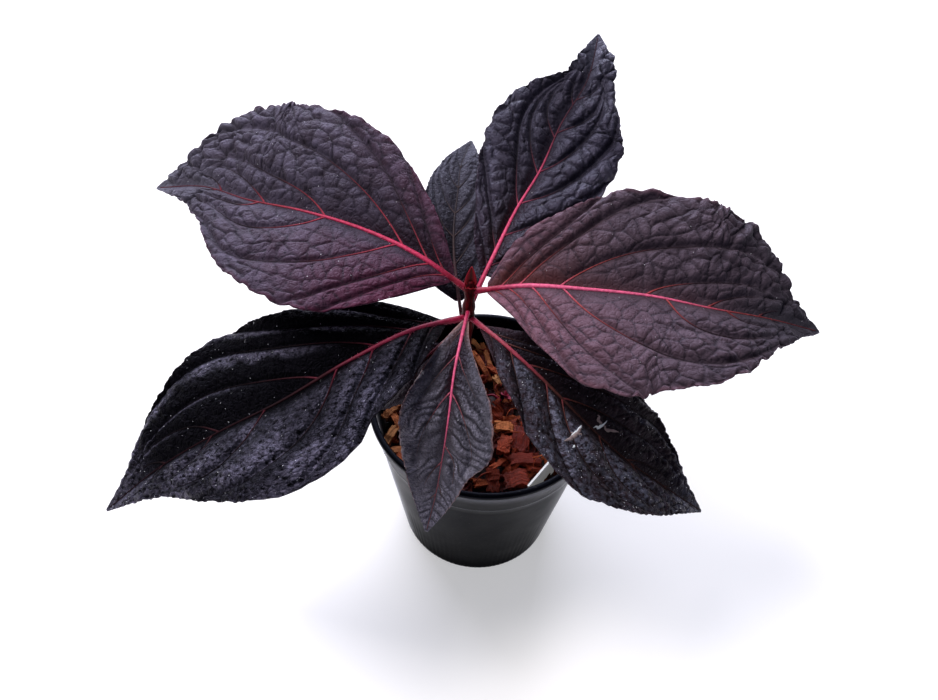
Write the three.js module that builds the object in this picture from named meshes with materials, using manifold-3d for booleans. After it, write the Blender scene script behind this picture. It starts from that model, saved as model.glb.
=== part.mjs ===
// A dark-leaved mikania growing in a black nursery pot of coconut-husk chips.
// Eight leaves stand in crossed pairs on one short red stem. Each leaf is a blade
// and, in its own crimson piece, the stalk that runs on into the blade as its midrib.
// Millimetres, +Z up. The origin is the centre of the pot's flat underside.
import * as THREE from "three";
import { mergeVertices } from "three/addons/utils/BufferGeometryUtils.js";
import Module from "manifold-3d";

const wasm = await Module();
wasm.setup();

// Driving dimensions

const GAP = 0.3; // clearance between pieces that touch on the real plant
const GOLDEN_ANGLE = Math.PI * (3 - Math.sqrt(5)); // spreads the chips evenly round the pot

const POT = {
  height: 86,
  rimRadius: 50,
  footRadius: 35.2,
  footEdge: 0.8, // chamfer round the foot
  lipHeight: 2.2,
  lipOut: 1.6, // how far the lip stands out from the band below it
  edge: 0.6, // chamfers at the lip and under the band
  bandHeight: 15, // flat band below the rim
  bandTaper: 1.5,
  bandStep: 0.6,
  innerTop: 47.2,
  mouth: [0.5, 1], // chamfer inside the rim, out and down
  innerFoot: 33.8,
  floor: 1.8,
  sides: 48,
  drains: 5,
  drainRadius: 3.4,
  drainCircle: 23,
};

const MEDIUM = {
  bed: 14, // the bed of chips is this far below the rim at the wall
  crown: 2.5, // and this much higher near the stem
  chips: 58,
  chipLength: [6, 13],
  chipWidth: [3.5, 7.5],
  chipThickness: [1.6, 2.8],
  chipReach: 38.5, // from the pot's axis to the outermost chips
  chipRise: [0.2, 1.6], // of a chip's middle above the bed
  sides: 30,
  wallClear: 0.25, // beyond the gap, because the pot and the bed have different flats
  seed: 7,
};

const STEM = {
  x: -8.8,
  y: 2.2,
  footDepth: 24, // below the rim
  radius: 1.8,
  footRadius: 2.1,
  nodeRadius: 2.6,
  nodeSpan: 3, // how far a swollen node reaches up and down
  nodes: [43, 49, 53.5, 63], // heights above the rim where the stalks meet the stem
  top: 67,
  tipRadius: 0.8,
  tipTaper: 0.25, // growth of the radius below the tip
  swayX: [0, -0.2, -0.5, -0.8, -1, -0.7], // of the axis, in even steps up from the foot
  swayY: [0, 0, 0, 0, 0.1, 0.4],
  sides: 8,
  holeClear: 0.4,
};

// Young leaves on the tip of the stem: heading and lean in radians, length, width
const TUFT = {
  root: 2.5, // below the stem's tip
  leaves: [[0.4, 0.12, 10.5, 4.6], [3.5, 0.35, 6.5, 3.4], [5.1, 0.7, 4, 2.4], [2, 0.75, 4, 2.4]],
  outline: [[0, 0.45], [0.3, 1], [0.65, 0.7], [1, 0.08]], // share of length, share of width
  keel: 0.4, // thickness over width
  curl: 0.12,
};

const LABEL = {
  x: 33,
  y: -21.2,
  heading: 57.3, // degrees from +X, along the label
  top: 1.5, // below the rim
  height: 16,
  topLength: 48,
  footLength: 38.4,
  thickness: 0.8,
};

const STALK = {
  radius: 1.45, // at the stem
  bladeRadius: 1.1, // where the blade begins
  tipRadius: 0.4,
  reach: 0.84, // how far along the blade the midrib stands out
  seat: 1.28, // height of its centre over the fold, in radii
  sides: 6,
  steps: 13,
  clear: 0.45, // level distance to the stem, which is about GAP square to its slopes
  search: 0.001, // step along the route in looking for the stem's side
  searchPoints: 24, // round the stalk's end
};

const BLADE = {
  thickness: 0.8,
  quilt: 1.5, // how far the blade puffs up between its side veins
  tooth: 0.55,
  wave: 1.1,
  fullHalf: 14, // a half narrower than this has less relief
  least: 0.5, // half width at the very tip
  sweep: 0.42, // how far the rows of faces lean towards the tip at the margin
  sweepFrom: 0.25, // share of the blade over which that lean sets in
  rowEase: 1.15, // packs the rows a little towards the base
  columns: [0, 0.1, 0.3, 0.52, 0.74, 0.9, 1],
};

// One entry for each leaf. Its route runs from the stem to the leaf's tip in even steps,
// with heights above the rim. The half widths are measured across the blade in ten even
// steps from its base to its tip, left and right as seen from above looking to the tip.
// A vein is where it leaves the midrib and how far it sweeps forward, both as a share of
// the blade's length. Roll, in degrees, lifts the left half. Fold is the slope of both
// halves up from the midrib, and cup bends them down again towards the margin.
const LEAVES = [
  {
    name: "left_top",
    rows: 26,
    route: [[-10.5, 2.5, 61], [-31, 10.5, 69.5], [-53.5, 18.5, 73], [-77, 24.5, 74],
      [-100, 30.5, 72], [-121.5, 41, 68], [-144, 46, 61]],
    bladeStart: 0.05,
    roll: -15,
    fold: 0.32,
    cup: 0.13,
    left: [1.4, 21.5, 36.5, 43.5, 44.5, 41.5, 35, 19.5, 13.5, 7, 0.5],
    right: [1.4, 13, 24.5, 35.5, 41.5, 44.5, 44, 43, 34.5, 13, 0.5],
    leftVeins: [[0.04, 0.22], [0.1, 0.3], [0.21, 0.6], [0.43, 1.05], [0.64, 1.4], [0.8, 1.5]],
    rightVeins: [[0.05, 0.22], [0.11, 0.4], [0.19, 1], [0.43, 2.5], [0.62, 2.6], [0.78, 2.4]],
  },
  {
    name: "right_top",
    rows: 26,
    route: [[-8.5, 2, 61], [12, 0.5, 68], [34.5, -1.5, 71], [57.5, -2, 71],
      [79.5, -4.5, 70], [101.5, -2, 65], [123, 0.5, 58]],
    bladeStart: 0.045,
    roll: 15,
    fold: 0.32,
    cup: 0.13,
    left: [1.4, 16, 27.5, 36, 40, 41, 41, 38.5, 31.5, 10.5, 0.5],
    right: [1.4, 15.5, 29.5, 41.5, 46.5, 46, 37, 27, 16.5, 7.5, 0.5],
    leftVeins: [[0.06, 0.26], [0.12, 0.38], [0.24, 1.2], [0.48, 3], [0.66, 3], [0.82, 2.4]],
    rightVeins: [[0.04, 0.12], [0.09, 0.2], [0.16, 0.31], [0.25, 0.72], [0.54, 0.8], [0.72, 0.9], [0.86, 0.8]],
  },
  {
    name: "back_right",
    rows: 24,
    route: [[-9.5, 3, 51.5], [-2, 22.5, 61.5], [5, 44, 67], [14, 64, 74],
      [21, 84, 83], [30.5, 101.5, 94], [34, 122, 104]],
    bladeStart: 0.1,
    roll: 8,
    fold: 0.3,
    cup: 0.14,
    left: [1.4, 10, 14.5, 20.5, 25.5, 27, 25.5, 19.5, 10.5, 6.5, 0.5],
    right: [2.4, 15, 23, 27.5, 28.5, 29, 28.5, 24, 13, 8.5, 0.5],
    leftVeins: [[0.05, 0.15], [0.12, 0.3], [0.31, 0.8], [0.45, 0.7], [0.6, 0.45], [0.74, 0.4], [0.86, 0.3]],
    rightVeins: [[0.06, 0.15], [0.18, 0.3], [0.32, 0.43], [0.46, 0.7], [0.62, 0.45], [0.76, 0.2], [0.88, 0.15]],
  },
  {
    name: "back",
    rows: 16,
    route: [[-11.5, 1.5, 41], [-15, 13.5, 49.5], [-18, 27.5, 54.5], [-19.5, 41.5, 59.5],
      [-19.5, 56, 64], [-19.5, 70.5, 67.5], [-16.5, 85, 70]],
    bladeStart: 0.12,
    roll: 0,
    fold: 0.24,
    cup: 0.14,
    left: [1.4, 10.5, 14.5, 16, 16, 15, 13.5, 12, 8.5, 4.5, 0.5],
    right: [1.4, 10, 13.5, 15, 16, 15.5, 14, 12, 10, 6, 0.5],
    leftVeins: [[0.1, 0.25], [0.24, 0.45], [0.4, 0.42], [0.54, 0.38], [0.7, 0.35], [0.84, 0.3]],
    rightVeins: [[0.1, 0.25], [0.24, 0.45], [0.4, 0.42], [0.54, 0.38], [0.7, 0.35], [0.84, 0.3]],
  },
  {
    name: "front_left",
    rows: 26,
    route: [[-10, 1.5, 47], [-30.5, -14, 53], [-52, -29.5, 50], [-74, -43, 41],
      [-97, -52, 30], [-119, -61.5, 17], [-138.5, -72.5, 2]],
    bladeStart: 0.07,
    roll: -4,
    fold: 0.34,
    cup: 0.17,
    left: [1.4, 13.5, 22.5, 30, 39.5, 40, 35.5, 26.5, 15.5, 7.5, 0.5],
    right: [1.4, 11.5, 22, 28, 33, 35.5, 36, 31.5, 21, 7.5, 0.5],
    leftVeins: [[0.05, 0.12], [0.12, 0.22], [0.23, 0.27], [0.33, 0.41], [0.53, 0.42], [0.68, 0.45], [0.83, 0.4]],
    rightVeins: [[0.05, 0.25], [0.12, 0.42], [0.22, 0.6], [0.38, 1.35], [0.66, 0.85], [0.82, 0.7]],
  },
  {
    name: "front",
    rows: 16,
    route: [[-9.5, 3.5, 51.5], [-11, -12.5, 52], [-12.5, -27, 46.5], [-13, -39.5, 36.5],
      [-14, -48.5, 23.5], [-15.5, -57.5, 10.5], [-18, -65.5, -3]],
    bladeStart: 0.09,
    roll: 0,
    fold: 0.28,
    cup: 0.16,
    left: [1.2, 3, 7, 11.5, 15.5, 17.5, 18, 11.5, 8, 4.5, 0.5],
    right: [1.2, 5, 9, 13, 17, 18, 16.5, 13.5, 10.5, 6, 0.5],
    leftVeins: [[0.08, 0.2], [0.22, 0.34], [0.39, 0.57], [0.62, 0.4], [0.8, 0.35]],
    rightVeins: [[0.08, 0.2], [0.22, 0.34], [0.38, 0.68], [0.7, 0.45], [0.85, 0.35]],
  },
  {
    name: "front_right",
    rows: 22,
    route: [[-9.5, 2, 47], [5, -13, 49.5], [22, -25, 43.5], [38, -34.5, 34],
      [54.5, -40.5, 22], [72, -43, 9.5], [89, -44.5, -3]],
    bladeStart: 0.07,
    roll: 5,
    fold: 0.4,
    cup: 0.16,
    left: [1.4, 7, 13.5, 19.5, 23.5, 24.5, 23.5, 22.5, 16, 7.5, 0.5],
    right: [1.4, 7, 15, 21, 26, 29, 26, 21.5, 15, 7.5, 0.5],
    leftVeins: [[0.06, 0.3], [0.12, 0.5], [0.23, 0.68], [0.38, 1.3], [0.68, 2.3], [0.85, 1.5]],
    rightVeins: [[0.06, 0.1], [0.16, 0.18], [0.31, 0.25], [0.38, 0.45], [0.55, 0.35], [0.7, 0.35], [0.84, 0.3]],
  },
  {
    name: "low_left",
    rows: 12,
    route: [[-11, 0.5, 41], [-17, -6.5, 42], [-23.5, -13, 39], [-29.5, -17, 33],
      [-35, -20, 26], [-41.5, -21.5, 19], [-47.5, -21.5, 12]],
    bladeStart: 0.22,
    roll: 0,
    fold: 0.2,
    cup: 0.1,
    left: [1.2, 9, 13.5, 14.5, 13, 10.5, 8, 6.5, 4.5, 2.5, 0.5],
    right: [1.2, 4.5, 7, 9, 10, 11, 12, 11.5, 8.5, 4.5, 0.5],
    leftVeins: [[0.15, 0.3], [0.35, 0.4], [0.6, 0.4], [0.8, 0.3]],
    rightVeins: [[0.15, 0.3], [0.35, 0.4], [0.6, 0.4], [0.8, 0.3]],
  },
];

// Colours, as seen on the plant

const FINISH = {
  blackPlastic: new THREE.MeshStandardMaterial({ color: 0x1b1c1f, roughness: 0.42, metalness: 0 }),
  whitePlastic: new THREE.MeshStandardMaterial({ color: 0xf2f1ee, roughness: 0.5, metalness: 0 }),
  husk: new THREE.MeshStandardMaterial({ color: 0x7a4327, roughness: 0.95, metalness: 0 }),
  darkBlade: new THREE.MeshStandardMaterial({
    color: 0x2f2730, roughness: 0.5, metalness: 0, side: THREE.DoubleSide,
  }),
  crimson: new THREE.MeshStandardMaterial({ color: 0x8e2338, roughness: 0.6, metalness: 0 }),
  redStem: new THREE.MeshStandardMaterial({ color: 0x4a1318, roughness: 0.6, metalness: 0 }),
};

const plant = new THREE.Group();

function addPiece(name, geometry, material) {
  const mesh = new THREE.Mesh(geometry, material);
  mesh.name = name;
  plant.add(mesh);
  return mesh;
}

// Helpers

// A seeded random number between low and high
function randomSource(seed) {
  let state = seed;
  return (low, high) => {
    state = (state * 1664525 + 1013904223) % 4294967296;
    return low + ((high - low) * state) / 4294967296;
  };
}

// A geometry with positions only and its shared corners merged
function weld(geometry) {
  const bare = geometry.index ? geometry.toNonIndexed() : geometry.clone();
  bare.deleteAttribute("normal");
  bare.deleteAttribute("uv");
  return mergeVertices(bare, 1e-4);
}

function toSolid(geometry) {
  const welded = weld(geometry);
  return new wasm.Manifold(new wasm.Mesh({
    numProp: 3,
    vertProperties: new Float32Array(welded.attributes.position.array),
    triVerts: new Uint32Array(welded.index.array),
  }));
}

function toGeometry(solid) {
  const mesh = solid.getMesh();
  const geometry = new THREE.BufferGeometry();
  geometry.setAttribute("position", new THREE.BufferAttribute(new Float32Array(mesh.vertProperties), 3));
  geometry.setIndex(new THREE.BufferAttribute(new Uint32Array(mesh.triVerts), 1));
  return geometry;
}

// A closed mesh from a list of corners and a list of triangles
function meshFrom(corners, triangles) {
  const geometry = new THREE.BufferGeometry();
  const flat = corners.flatMap((corner) => [corner.x, corner.y, corner.z]);
  geometry.setAttribute("position", new THREE.Float32BufferAttribute(flat, 3));
  geometry.setIndex(triangles.flat());
  return geometry;
}

// An upright round rod with its middle at a place
function upright(radius, height, place) {
  const rod = new THREE.CylinderGeometry(radius, radius, height, 16);
  rod.rotateX(Math.PI / 2);
  rod.translate(...place);
  return rod;
}

// The curve through evenly spaced values, read at a share from 0 to 1
function smoothRead(values, share) {
  const last = values.length - 1;
  const place = Math.min(Math.max(share, 0), 1) * last;
  const i = Math.min(Math.floor(place), last - 1);
  const w = place - i;
  const before = i > 0 ? values[i - 1] : 2 * values[i] - values[i + 1];
  const after = i + 2 <= last ? values[i + 2] : 2 * values[i + 1] - values[i];
  const rise = (values[i + 1] - before) / 2;
  const leave = (after - values[i]) / 2;
  const span = values[i + 1] - values[i];
  return values[i] + w * (rise + w * (3 * span - 2 * rise - leave + w * (rise + leave - 2 * span)));
}

// A tube along a list of stations, each with a centre, two cross axes and a radius
function tube(stations, sides) {
  const corners = [];
  const triangles = [];
  for (const station of stations) {
    for (let k = 0; k < sides; k += 1) {
      const angle = (2 * Math.PI * k) / sides;
      corners.push(station.centre.clone()
        .addScaledVector(station.across, station.radius * Math.cos(angle))
        .addScaledVector(station.up, station.radius * Math.sin(angle)));
    }
  }
  const rings = stations.length;
  for (let r = 0; r + 1 < rings; r += 1) {
    for (let k = 0; k < sides; k += 1) {
      const a = r * sides + k;
      const b = r * sides + ((k + 1) % sides);
      triangles.push([a, b, b + sides], [a, b + sides, a + sides]);
    }
  }
  for (let k = 1; k + 1 < sides; k += 1) {
    const end = (rings - 1) * sides;
    triangles.push([0, k + 1, k], [end, end + k, end + k + 1]);
  }
  return meshFrom(corners, triangles);
}

// Pot: a thin tapered cup with a lip, a flat band under it and drain holes

function innerRadius(z) {
  const share = (z - POT.floor) / (POT.height - POT.mouth[1] - POT.floor);
  return POT.innerFoot + share * (POT.innerTop - POT.innerFoot);
}

function makePot() {
  const rim = POT.height;
  const bandTop = POT.rimRadius - POT.lipOut;
  const bandFoot = bandTop - POT.bandTaper;
  const profile = [
    [0, 0],
    [POT.footRadius - POT.footEdge, 0],
    [POT.footRadius, POT.footEdge],
    [bandFoot - POT.bandStep, rim - POT.bandHeight - POT.edge],
    [bandFoot, rim - POT.bandHeight],
    [bandTop, rim - POT.lipHeight - POT.edge],
    [POT.rimRadius, rim - POT.lipHeight],
    [POT.rimRadius, rim - POT.edge],
    [POT.rimRadius - POT.edge, rim],
    [POT.innerTop + POT.mouth[0], rim],
    [POT.innerTop, rim - POT.mouth[1]],
    [POT.innerFoot, POT.floor],
    [0, POT.floor],
  ].map(([radius, z]) => new THREE.Vector2(radius, z));
  const shell = new THREE.LatheGeometry(profile, POT.sides);
  shell.rotateX(Math.PI / 2);
  let solid = toSolid(shell);
  for (let i = 0; i < POT.drains; i += 1) {
    const angle = (2 * Math.PI * (i + 0.5)) / POT.drains;
    const place = [POT.drainCircle * Math.cos(angle), POT.drainCircle * Math.sin(angle), POT.floor / 2];
    solid = solid.subtract(toSolid(upright(POT.drainRadius, 2 * POT.floor, place)));
  }
  return toGeometry(solid);
}

addPiece("pot", makePot(), FINISH.blackPlastic);

// Label: a plain white strip standing between the chips and the wall

function labelPrism(grow) {
  const top = LABEL.topLength / 2 + grow;
  const foot = LABEL.footLength / 2 + grow;
  const face = new THREE.Shape([
    new THREE.Vector2(-foot, -LABEL.height - grow),
    new THREE.Vector2(foot, -LABEL.height - grow),
    new THREE.Vector2(top, grow),
    new THREE.Vector2(-top, grow),
  ]);
  const depth = LABEL.thickness + 2 * grow;
  const strip = new THREE.ExtrudeGeometry(face, { depth, bevelEnabled: false });
  strip.translate(0, 0, -depth / 2);
  strip.rotateX(Math.PI / 2);
  strip.rotateZ(THREE.MathUtils.degToRad(LABEL.heading));
  strip.translate(LABEL.x, LABEL.y, POT.height - LABEL.top);
  return strip;
}

addPiece("plant_label", labelPrism(0), FINISH.whitePlastic);

// Stem: one short upright stem with swollen nodes and a tuft of young leaves on top

// The stem's axis at a height above the rim
function stemAxis(above) {
  const share = (above + STEM.footDepth) / (STEM.top + STEM.footDepth);
  return new THREE.Vector3(
    STEM.x + smoothRead(STEM.swayX, share),
    STEM.y + smoothRead(STEM.swayY, share),
    POT.height + above,
  );
}

function stemRadius(above) {
  let radius = above <= 0 ? STEM.footRadius : STEM.radius;
  for (const node of STEM.nodes) {
    const near = Math.max(1 - Math.abs(above - node) / STEM.nodeSpan, 0);
    radius = Math.max(radius, STEM.radius + (STEM.nodeRadius - STEM.radius) * near);
  }
  return Math.min(radius, STEM.tipRadius + STEM.tipTaper * Math.max(STEM.top - above, 0));
}

// A small young leaf: a pointed, keeled sliver rising from its root
function youngLeaf(root, heading, lean, length, width) {
  const out = new THREE.Vector3(Math.cos(heading), Math.sin(heading), 0);
  const side = new THREE.Vector3(-Math.sin(heading), Math.cos(heading), 0);
  const rise = new THREE.Vector3(0, 0, 1).multiplyScalar(Math.cos(lean)).addScaledVector(out, Math.sin(lean));
  const face = new THREE.Vector3().crossVectors(side, rise);
  const stations = TUFT.outline.map(([share, spread]) => ({
    centre: root.clone()
      .addScaledVector(rise, length * share)
      .addScaledVector(face, length * TUFT.curl * share * share),
    across: side,
    up: face.clone().multiplyScalar(-TUFT.keel),
    radius: (width / 2) * spread,
  }));
  return tube(stations, 6);
}

function makeStem() {
  const heights = [-STEM.footDepth, 0, STEM.nodes[0] / 2, STEM.top];
  for (const node of STEM.nodes) heights.push(node - STEM.nodeSpan, node, node + STEM.nodeSpan);
  heights.sort((a, b) => a - b);
  const stations = heights
    .filter((above, i) => i === 0 || above - heights[i - 1] > GAP)
    .map((above) => ({
      centre: stemAxis(above),
      across: new THREE.Vector3(1, 0, 0),
      up: new THREE.Vector3(0, 1, 0),
      radius: stemRadius(above),
    }));
  let solid = toSolid(tube(stations, STEM.sides));
  for (const [heading, lean, length, width] of TUFT.leaves) {
    solid = solid.add(toSolid(youngLeaf(stemAxis(STEM.top - TUFT.root), heading, lean, length, width)));
  }
  return toGeometry(solid);
}

addPiece("stem", makeStem(), FINISH.redStem);

// Medium: a bed of husk chips that fills the pot and follows its wall

function bedHeight(radius) {
  const share = Math.min(radius / innerRadius(POT.height), 1);
  return POT.height - MEDIUM.bed + MEDIUM.crown * (1 - share * share);
}

// One chip: a flat, slightly uneven block
function chip(random) {
  const block = weld(new THREE.BoxGeometry(
    random(...MEDIUM.chipLength),
    random(...MEDIUM.chipWidth),
    random(...MEDIUM.chipThickness),
  ));
  const spot = block.attributes.position;
  for (let i = 0; i < spot.count; i += 1) {
    spot.setXYZ(
      i,
      spot.getX(i) * random(0.75, 1.1),
      spot.getY(i) * random(0.75, 1.1),
      spot.getZ(i) * random(0.8, 1.2),
    );
  }
  block.rotateX(random(-0.5, 0.5));
  block.rotateY(random(-0.45, 0.45));
  block.rotateZ(random(0, Math.PI));
  return block;
}

function makeMedium() {
  const floor = POT.floor + GAP;
  const top = POT.height - MEDIUM.bed;
  const wall = (z) => innerRadius(z) - GAP - MEDIUM.wallClear;
  const profile = [[0, floor], [wall(floor), floor], [wall(top), top]];
  for (const share of [0.8, 0.5, 0.2]) profile.push([wall(top) * share, bedHeight(wall(top) * share)]);
  profile.push([0, bedHeight(0)]);
  const outline = profile.map(([radius, z]) => new THREE.Vector2(radius, z));
  const bed = new THREE.LatheGeometry(outline, MEDIUM.sides);
  bed.rotateX(Math.PI / 2);
  const random = randomSource(MEDIUM.seed);
  const pieces = [toSolid(bed)];
  for (let i = 0; i < MEDIUM.chips; i += 1) {
    const reach = MEDIUM.chipReach * Math.sqrt((i + 0.5) / MEDIUM.chips);
    const angle = i * GOLDEN_ANGLE + random(-0.2, 0.2);
    const block = chip(random);
    const middle = bedHeight(reach) + random(...MEDIUM.chipRise);
    block.translate(reach * Math.cos(angle), reach * Math.sin(angle), middle);
    pieces.push(toSolid(block));
  }
  let solid = wasm.Manifold.union(pieces);
  const depth = STEM.footDepth + GAP;
  const hole = upright(STEM.footRadius + STEM.holeClear, depth, [STEM.x, STEM.y, POT.height - depth / 2]);
  solid = solid.subtract(toSolid(hole));
  solid = solid.subtract(toSolid(labelPrism(GAP)));
  const parts = solid.decompose();
  parts.sort((a, b) => b.volume() - a.volume());
  return toGeometry(parts[0]);
}

addPiece("husk_medium", makeMedium(), FINISH.husk);

// Leaves

// The leaf's own axes at a share of its route: along, across to the left, and up
function leafFrame(curve, share, rollDegrees) {
  const along = curve.getTangent(share);
  const level = new THREE.Vector3(0, 0, 1).cross(along).normalize();
  const upright = new THREE.Vector3().crossVectors(along, level);
  const roll = THREE.MathUtils.degToRad(rollDegrees);
  return {
    centre: curve.getPoint(share),
    across: level.clone().multiplyScalar(Math.cos(roll)).addScaledVector(upright, Math.sin(roll)),
    up: upright.clone().multiplyScalar(Math.cos(roll)).addScaledVector(level, -Math.sin(roll)),
  };
}

function routeCurve(leaf) {
  const points = leaf.route.map(([x, y, above]) => new THREE.Vector3(x, y, POT.height + above));
  return new THREE.CatmullRomCurve3(points, false, "catmullrom", 0.5);
}

// Height of the puffed quilting at a place on one half of the blade, as a share of its
// full height: nothing on a side vein, most midway between two of them
function quiltHeight(veins, u, v) {
  const beforeBase = [-0.04, 0.02];
  const pastTip = [1.02, 0.6];
  const marks = [beforeBase, ...veins, pastTip].map(([start, sweep]) => start + sweep * v * v);
  let i = 0;
  while (i + 2 < marks.length && marks[i + 1] < u) i += 1;
  const share = Math.min(Math.max((u - marks[i]) / (marks[i + 1] - marks[i]), 0), 1);
  return Math.sin(Math.PI * share) ** 0.7;
}

// A point on the top of the blade: u runs from base to tip, v from the right margin
// at -1 over the midrib to the left margin at 1
function bladePoint(leaf, curve, u, v, row) {
  const share = leaf.bladeStart + (1 - leaf.bladeStart) * u;
  const { centre, across, up } = leafFrame(curve, share, leaf.roll);
  const far = Math.abs(v);
  const half = Math.max(smoothRead(v > 0 ? leaf.left : leaf.right, u), BLADE.least);
  const tooth = far === 1 && half > 4 ? BLADE.tooth * (row % 2 === 0 ? 1 : -0.6) : 0;
  const veins = v > 0 ? leaf.leftVeins : leaf.rightVeins;
  const size = Math.min(half / BLADE.fullHalf, 1);
  const puff = far > 0 ? quiltHeight(veins, u, far) : 0;
  const quilt = BLADE.quilt * size * puff * Math.min(far * 5, 1) * (1 - 0.6 * far ** 6);
  const wave = BLADE.wave * size * (puff - 0.5) * far ** 4;
  const lift = (leaf.fold * far - leaf.cup * far * far) * half + quilt + wave;
  return {
    top: centre.clone().addScaledVector(across, v * half + Math.sign(v) * tooth).addScaledVector(up, lift),
    up,
  };
}

function makeBlade(leaf) {
  const curve = routeCurve(leaf);
  const lines = [...BLADE.columns.slice(1).reverse().map((v) => -v), ...BLADE.columns];
  const width = lines.length;
  const tops = [];
  const bottoms = [];
  for (let row = 0; row <= leaf.rows; row += 1) {
    const start = (row / leaf.rows) ** BLADE.rowEase;
    const lean = BLADE.sweep * (1 - start) * Math.min(start / BLADE.sweepFrom, 1);
    for (const v of lines) {
      const u = Math.min(start + lean * v * v, 1);
      const { top, up } = bladePoint(leaf, curve, u, v, row);
      tops.push(top);
      bottoms.push(top.clone().addScaledVector(up, -BLADE.thickness));
    }
  }
  const under = tops.length;
  const triangles = [];
  const quad = (a, b, c, d) => triangles.push([a, b, c], [a, c, d]);
  // Both faces are cut along the same diagonals, which run out and towards the tip
  for (let row = 0; row < leaf.rows; row += 1) {
    for (let k = 0; k + 1 < width; k += 1) {
      const a = row * width + k;
      const corners = [a, a + width, a + width + 1, a + 1];
      const turned = 2 * k < width - 1 ? corners : [corners[1], corners[2], corners[3], corners[0]];
      const [p, q, r, s] = turned;
      triangles.push([p, q, r], [p, r, s]);
      triangles.push([p + under, r + under, q + under], [p + under, s + under, r + under]);
    }
    const left = row * width;
    const right = left + width - 1;
    quad(left + width, left, left + under, left + width + under);
    quad(right, right + width, right + width + under, right + under);
  }
  const last = leaf.rows * width;
  for (let k = 0; k + 1 < width; k += 1) {
    quad(k, k + 1, k + 1 + under, k + under);
    quad(last + k + 1, last + k, last + k + under, last + k + 1 + under);
  }
  return meshFrom([...tops, ...bottoms], triangles);
}

// One station of the stalk, which lies in the fold of the blade
function stalkStation(leaf, curve, share, end) {
  const { centre, across, up } = leafFrame(curve, share, leaf.roll);
  const onBlade = (share - leaf.bladeStart) / (end - leaf.bladeStart);
  const radius = onBlade < 0
    ? THREE.MathUtils.mapLinear(share, 0, leaf.bladeStart, STALK.radius, STALK.bladeRadius)
    : THREE.MathUtils.lerp(STALK.bladeRadius, STALK.tipRadius, onBlade);
  const lift = STALK.seat * radius + 2 * GAP;
  return { centre: centre.addScaledVector(up, lift), across, up, radius };
}

// Whether the stalk's end face at this station stands clear of the stem
function clearOfStem(station) {
  for (let k = 0; k < STALK.searchPoints; k += 1) {
    const angle = (2 * Math.PI * k) / STALK.searchPoints;
    const place = station.centre.clone()
      .addScaledVector(station.across, station.radius * Math.cos(angle))
      .addScaledVector(station.up, station.radius * Math.sin(angle));
    const above = place.z - POT.height;
    const axis = stemAxis(above);
    const away = Math.hypot(place.x - axis.x, place.y - axis.y);
    if (away < stemRadius(above) + STALK.clear) return false;
  }
  return true;
}

function makeStalk(leaf) {
  const curve = routeCurve(leaf);
  const end = leaf.bladeStart + (1 - leaf.bladeStart) * STALK.reach;
  let first = 0;
  while (!clearOfStem(stalkStation(leaf, curve, first, end))) first += STALK.search;
  const stations = [];
  for (let i = 0; i <= STALK.steps; i += 1) {
    stations.push(stalkStation(leaf, curve, first + (end - first) * (i / STALK.steps), end));
  }
  return tube(stations, STALK.sides);
}

for (const leaf of LEAVES) {
  addPiece(`leaf_${leaf.name}`, makeBlade(leaf), FINISH.darkBlade);
  addPiece(`stalk_${leaf.name}`, makeStalk(leaf), FINISH.crimson);
}

export default plant;
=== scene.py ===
"""A dark-leaved mikania in a black nursery pot of coconut-husk chips, dressed for the studio.

Sizes are millimetres in the part's own frame and become metres where a mesh is made.
Each leaf is built along its route as on the plant: a quilted blade, a hairy midrib that
runs on from its stalk, and side veins that sweep towards the tip.
"""
import math

import bmesh
import bpy
import numpy as np
from mathutils import Matrix, Vector


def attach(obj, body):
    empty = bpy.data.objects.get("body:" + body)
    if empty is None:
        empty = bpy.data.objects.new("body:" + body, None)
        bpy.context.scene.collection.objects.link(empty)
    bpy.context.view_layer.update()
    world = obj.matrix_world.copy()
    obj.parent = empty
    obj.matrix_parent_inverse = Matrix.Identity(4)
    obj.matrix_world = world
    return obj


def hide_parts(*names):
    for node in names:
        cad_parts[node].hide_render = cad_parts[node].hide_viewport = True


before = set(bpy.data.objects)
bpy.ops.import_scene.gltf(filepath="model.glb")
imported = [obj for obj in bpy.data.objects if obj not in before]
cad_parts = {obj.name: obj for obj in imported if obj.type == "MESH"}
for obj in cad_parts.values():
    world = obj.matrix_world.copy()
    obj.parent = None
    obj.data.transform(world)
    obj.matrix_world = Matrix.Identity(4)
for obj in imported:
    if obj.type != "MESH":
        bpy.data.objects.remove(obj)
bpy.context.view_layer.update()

# Sizes

MM = 0.001

# The part's own sizes, with detail that only the scene has. Unlike the part's, the stem's swollen
# joints sit 1 mm lower here, its lower part is 0.3 mm slimmer, and it tapers later at its tip.

POT = dict(height=86, rim=50, foot=35.2, lip=2.2, lip_out=1.6, band=15, band_taper=1.5, band_step=0.6,
           inner_top=47.2, inner_foot=33.8, floor=1.8, drains=5, drain_radius=3.4, drain_circle=23,
           flutes=96, flute_depth=0.045, out_of_round=0.12)
STEM = dict(x=-8.8, y=2.2, foot=-24, top=67, radius=1.8, node_radius=2.6, node_span=3.2,
            nodes=[42, 48, 52.5, 62], sway_x=[0, -0.2, -0.5, -0.8, -1, -0.7], sway_y=[0, 0, 0, 0, 0.1, 0.4])
MEDIUM = dict(bed=14, crown=2.5, gap=0.3, chips_over=1.6, strands=170, strand_steps=9, strand_sides=5)

# Each leaf: heights in the route are above the rim; half widths are in ten even steps from
# the blade's base to its tip, left and right as seen looking to the tip; a vein is where it
# leaves the midrib and how far it sweeps forward, as shares of the blade's length. They come
# from eye traces of the photograph, which a scratch script set in its camera. Unlike the part's,
# the margins of right_top and back_right lie up to 4.6 mm further out or in here.

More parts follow.
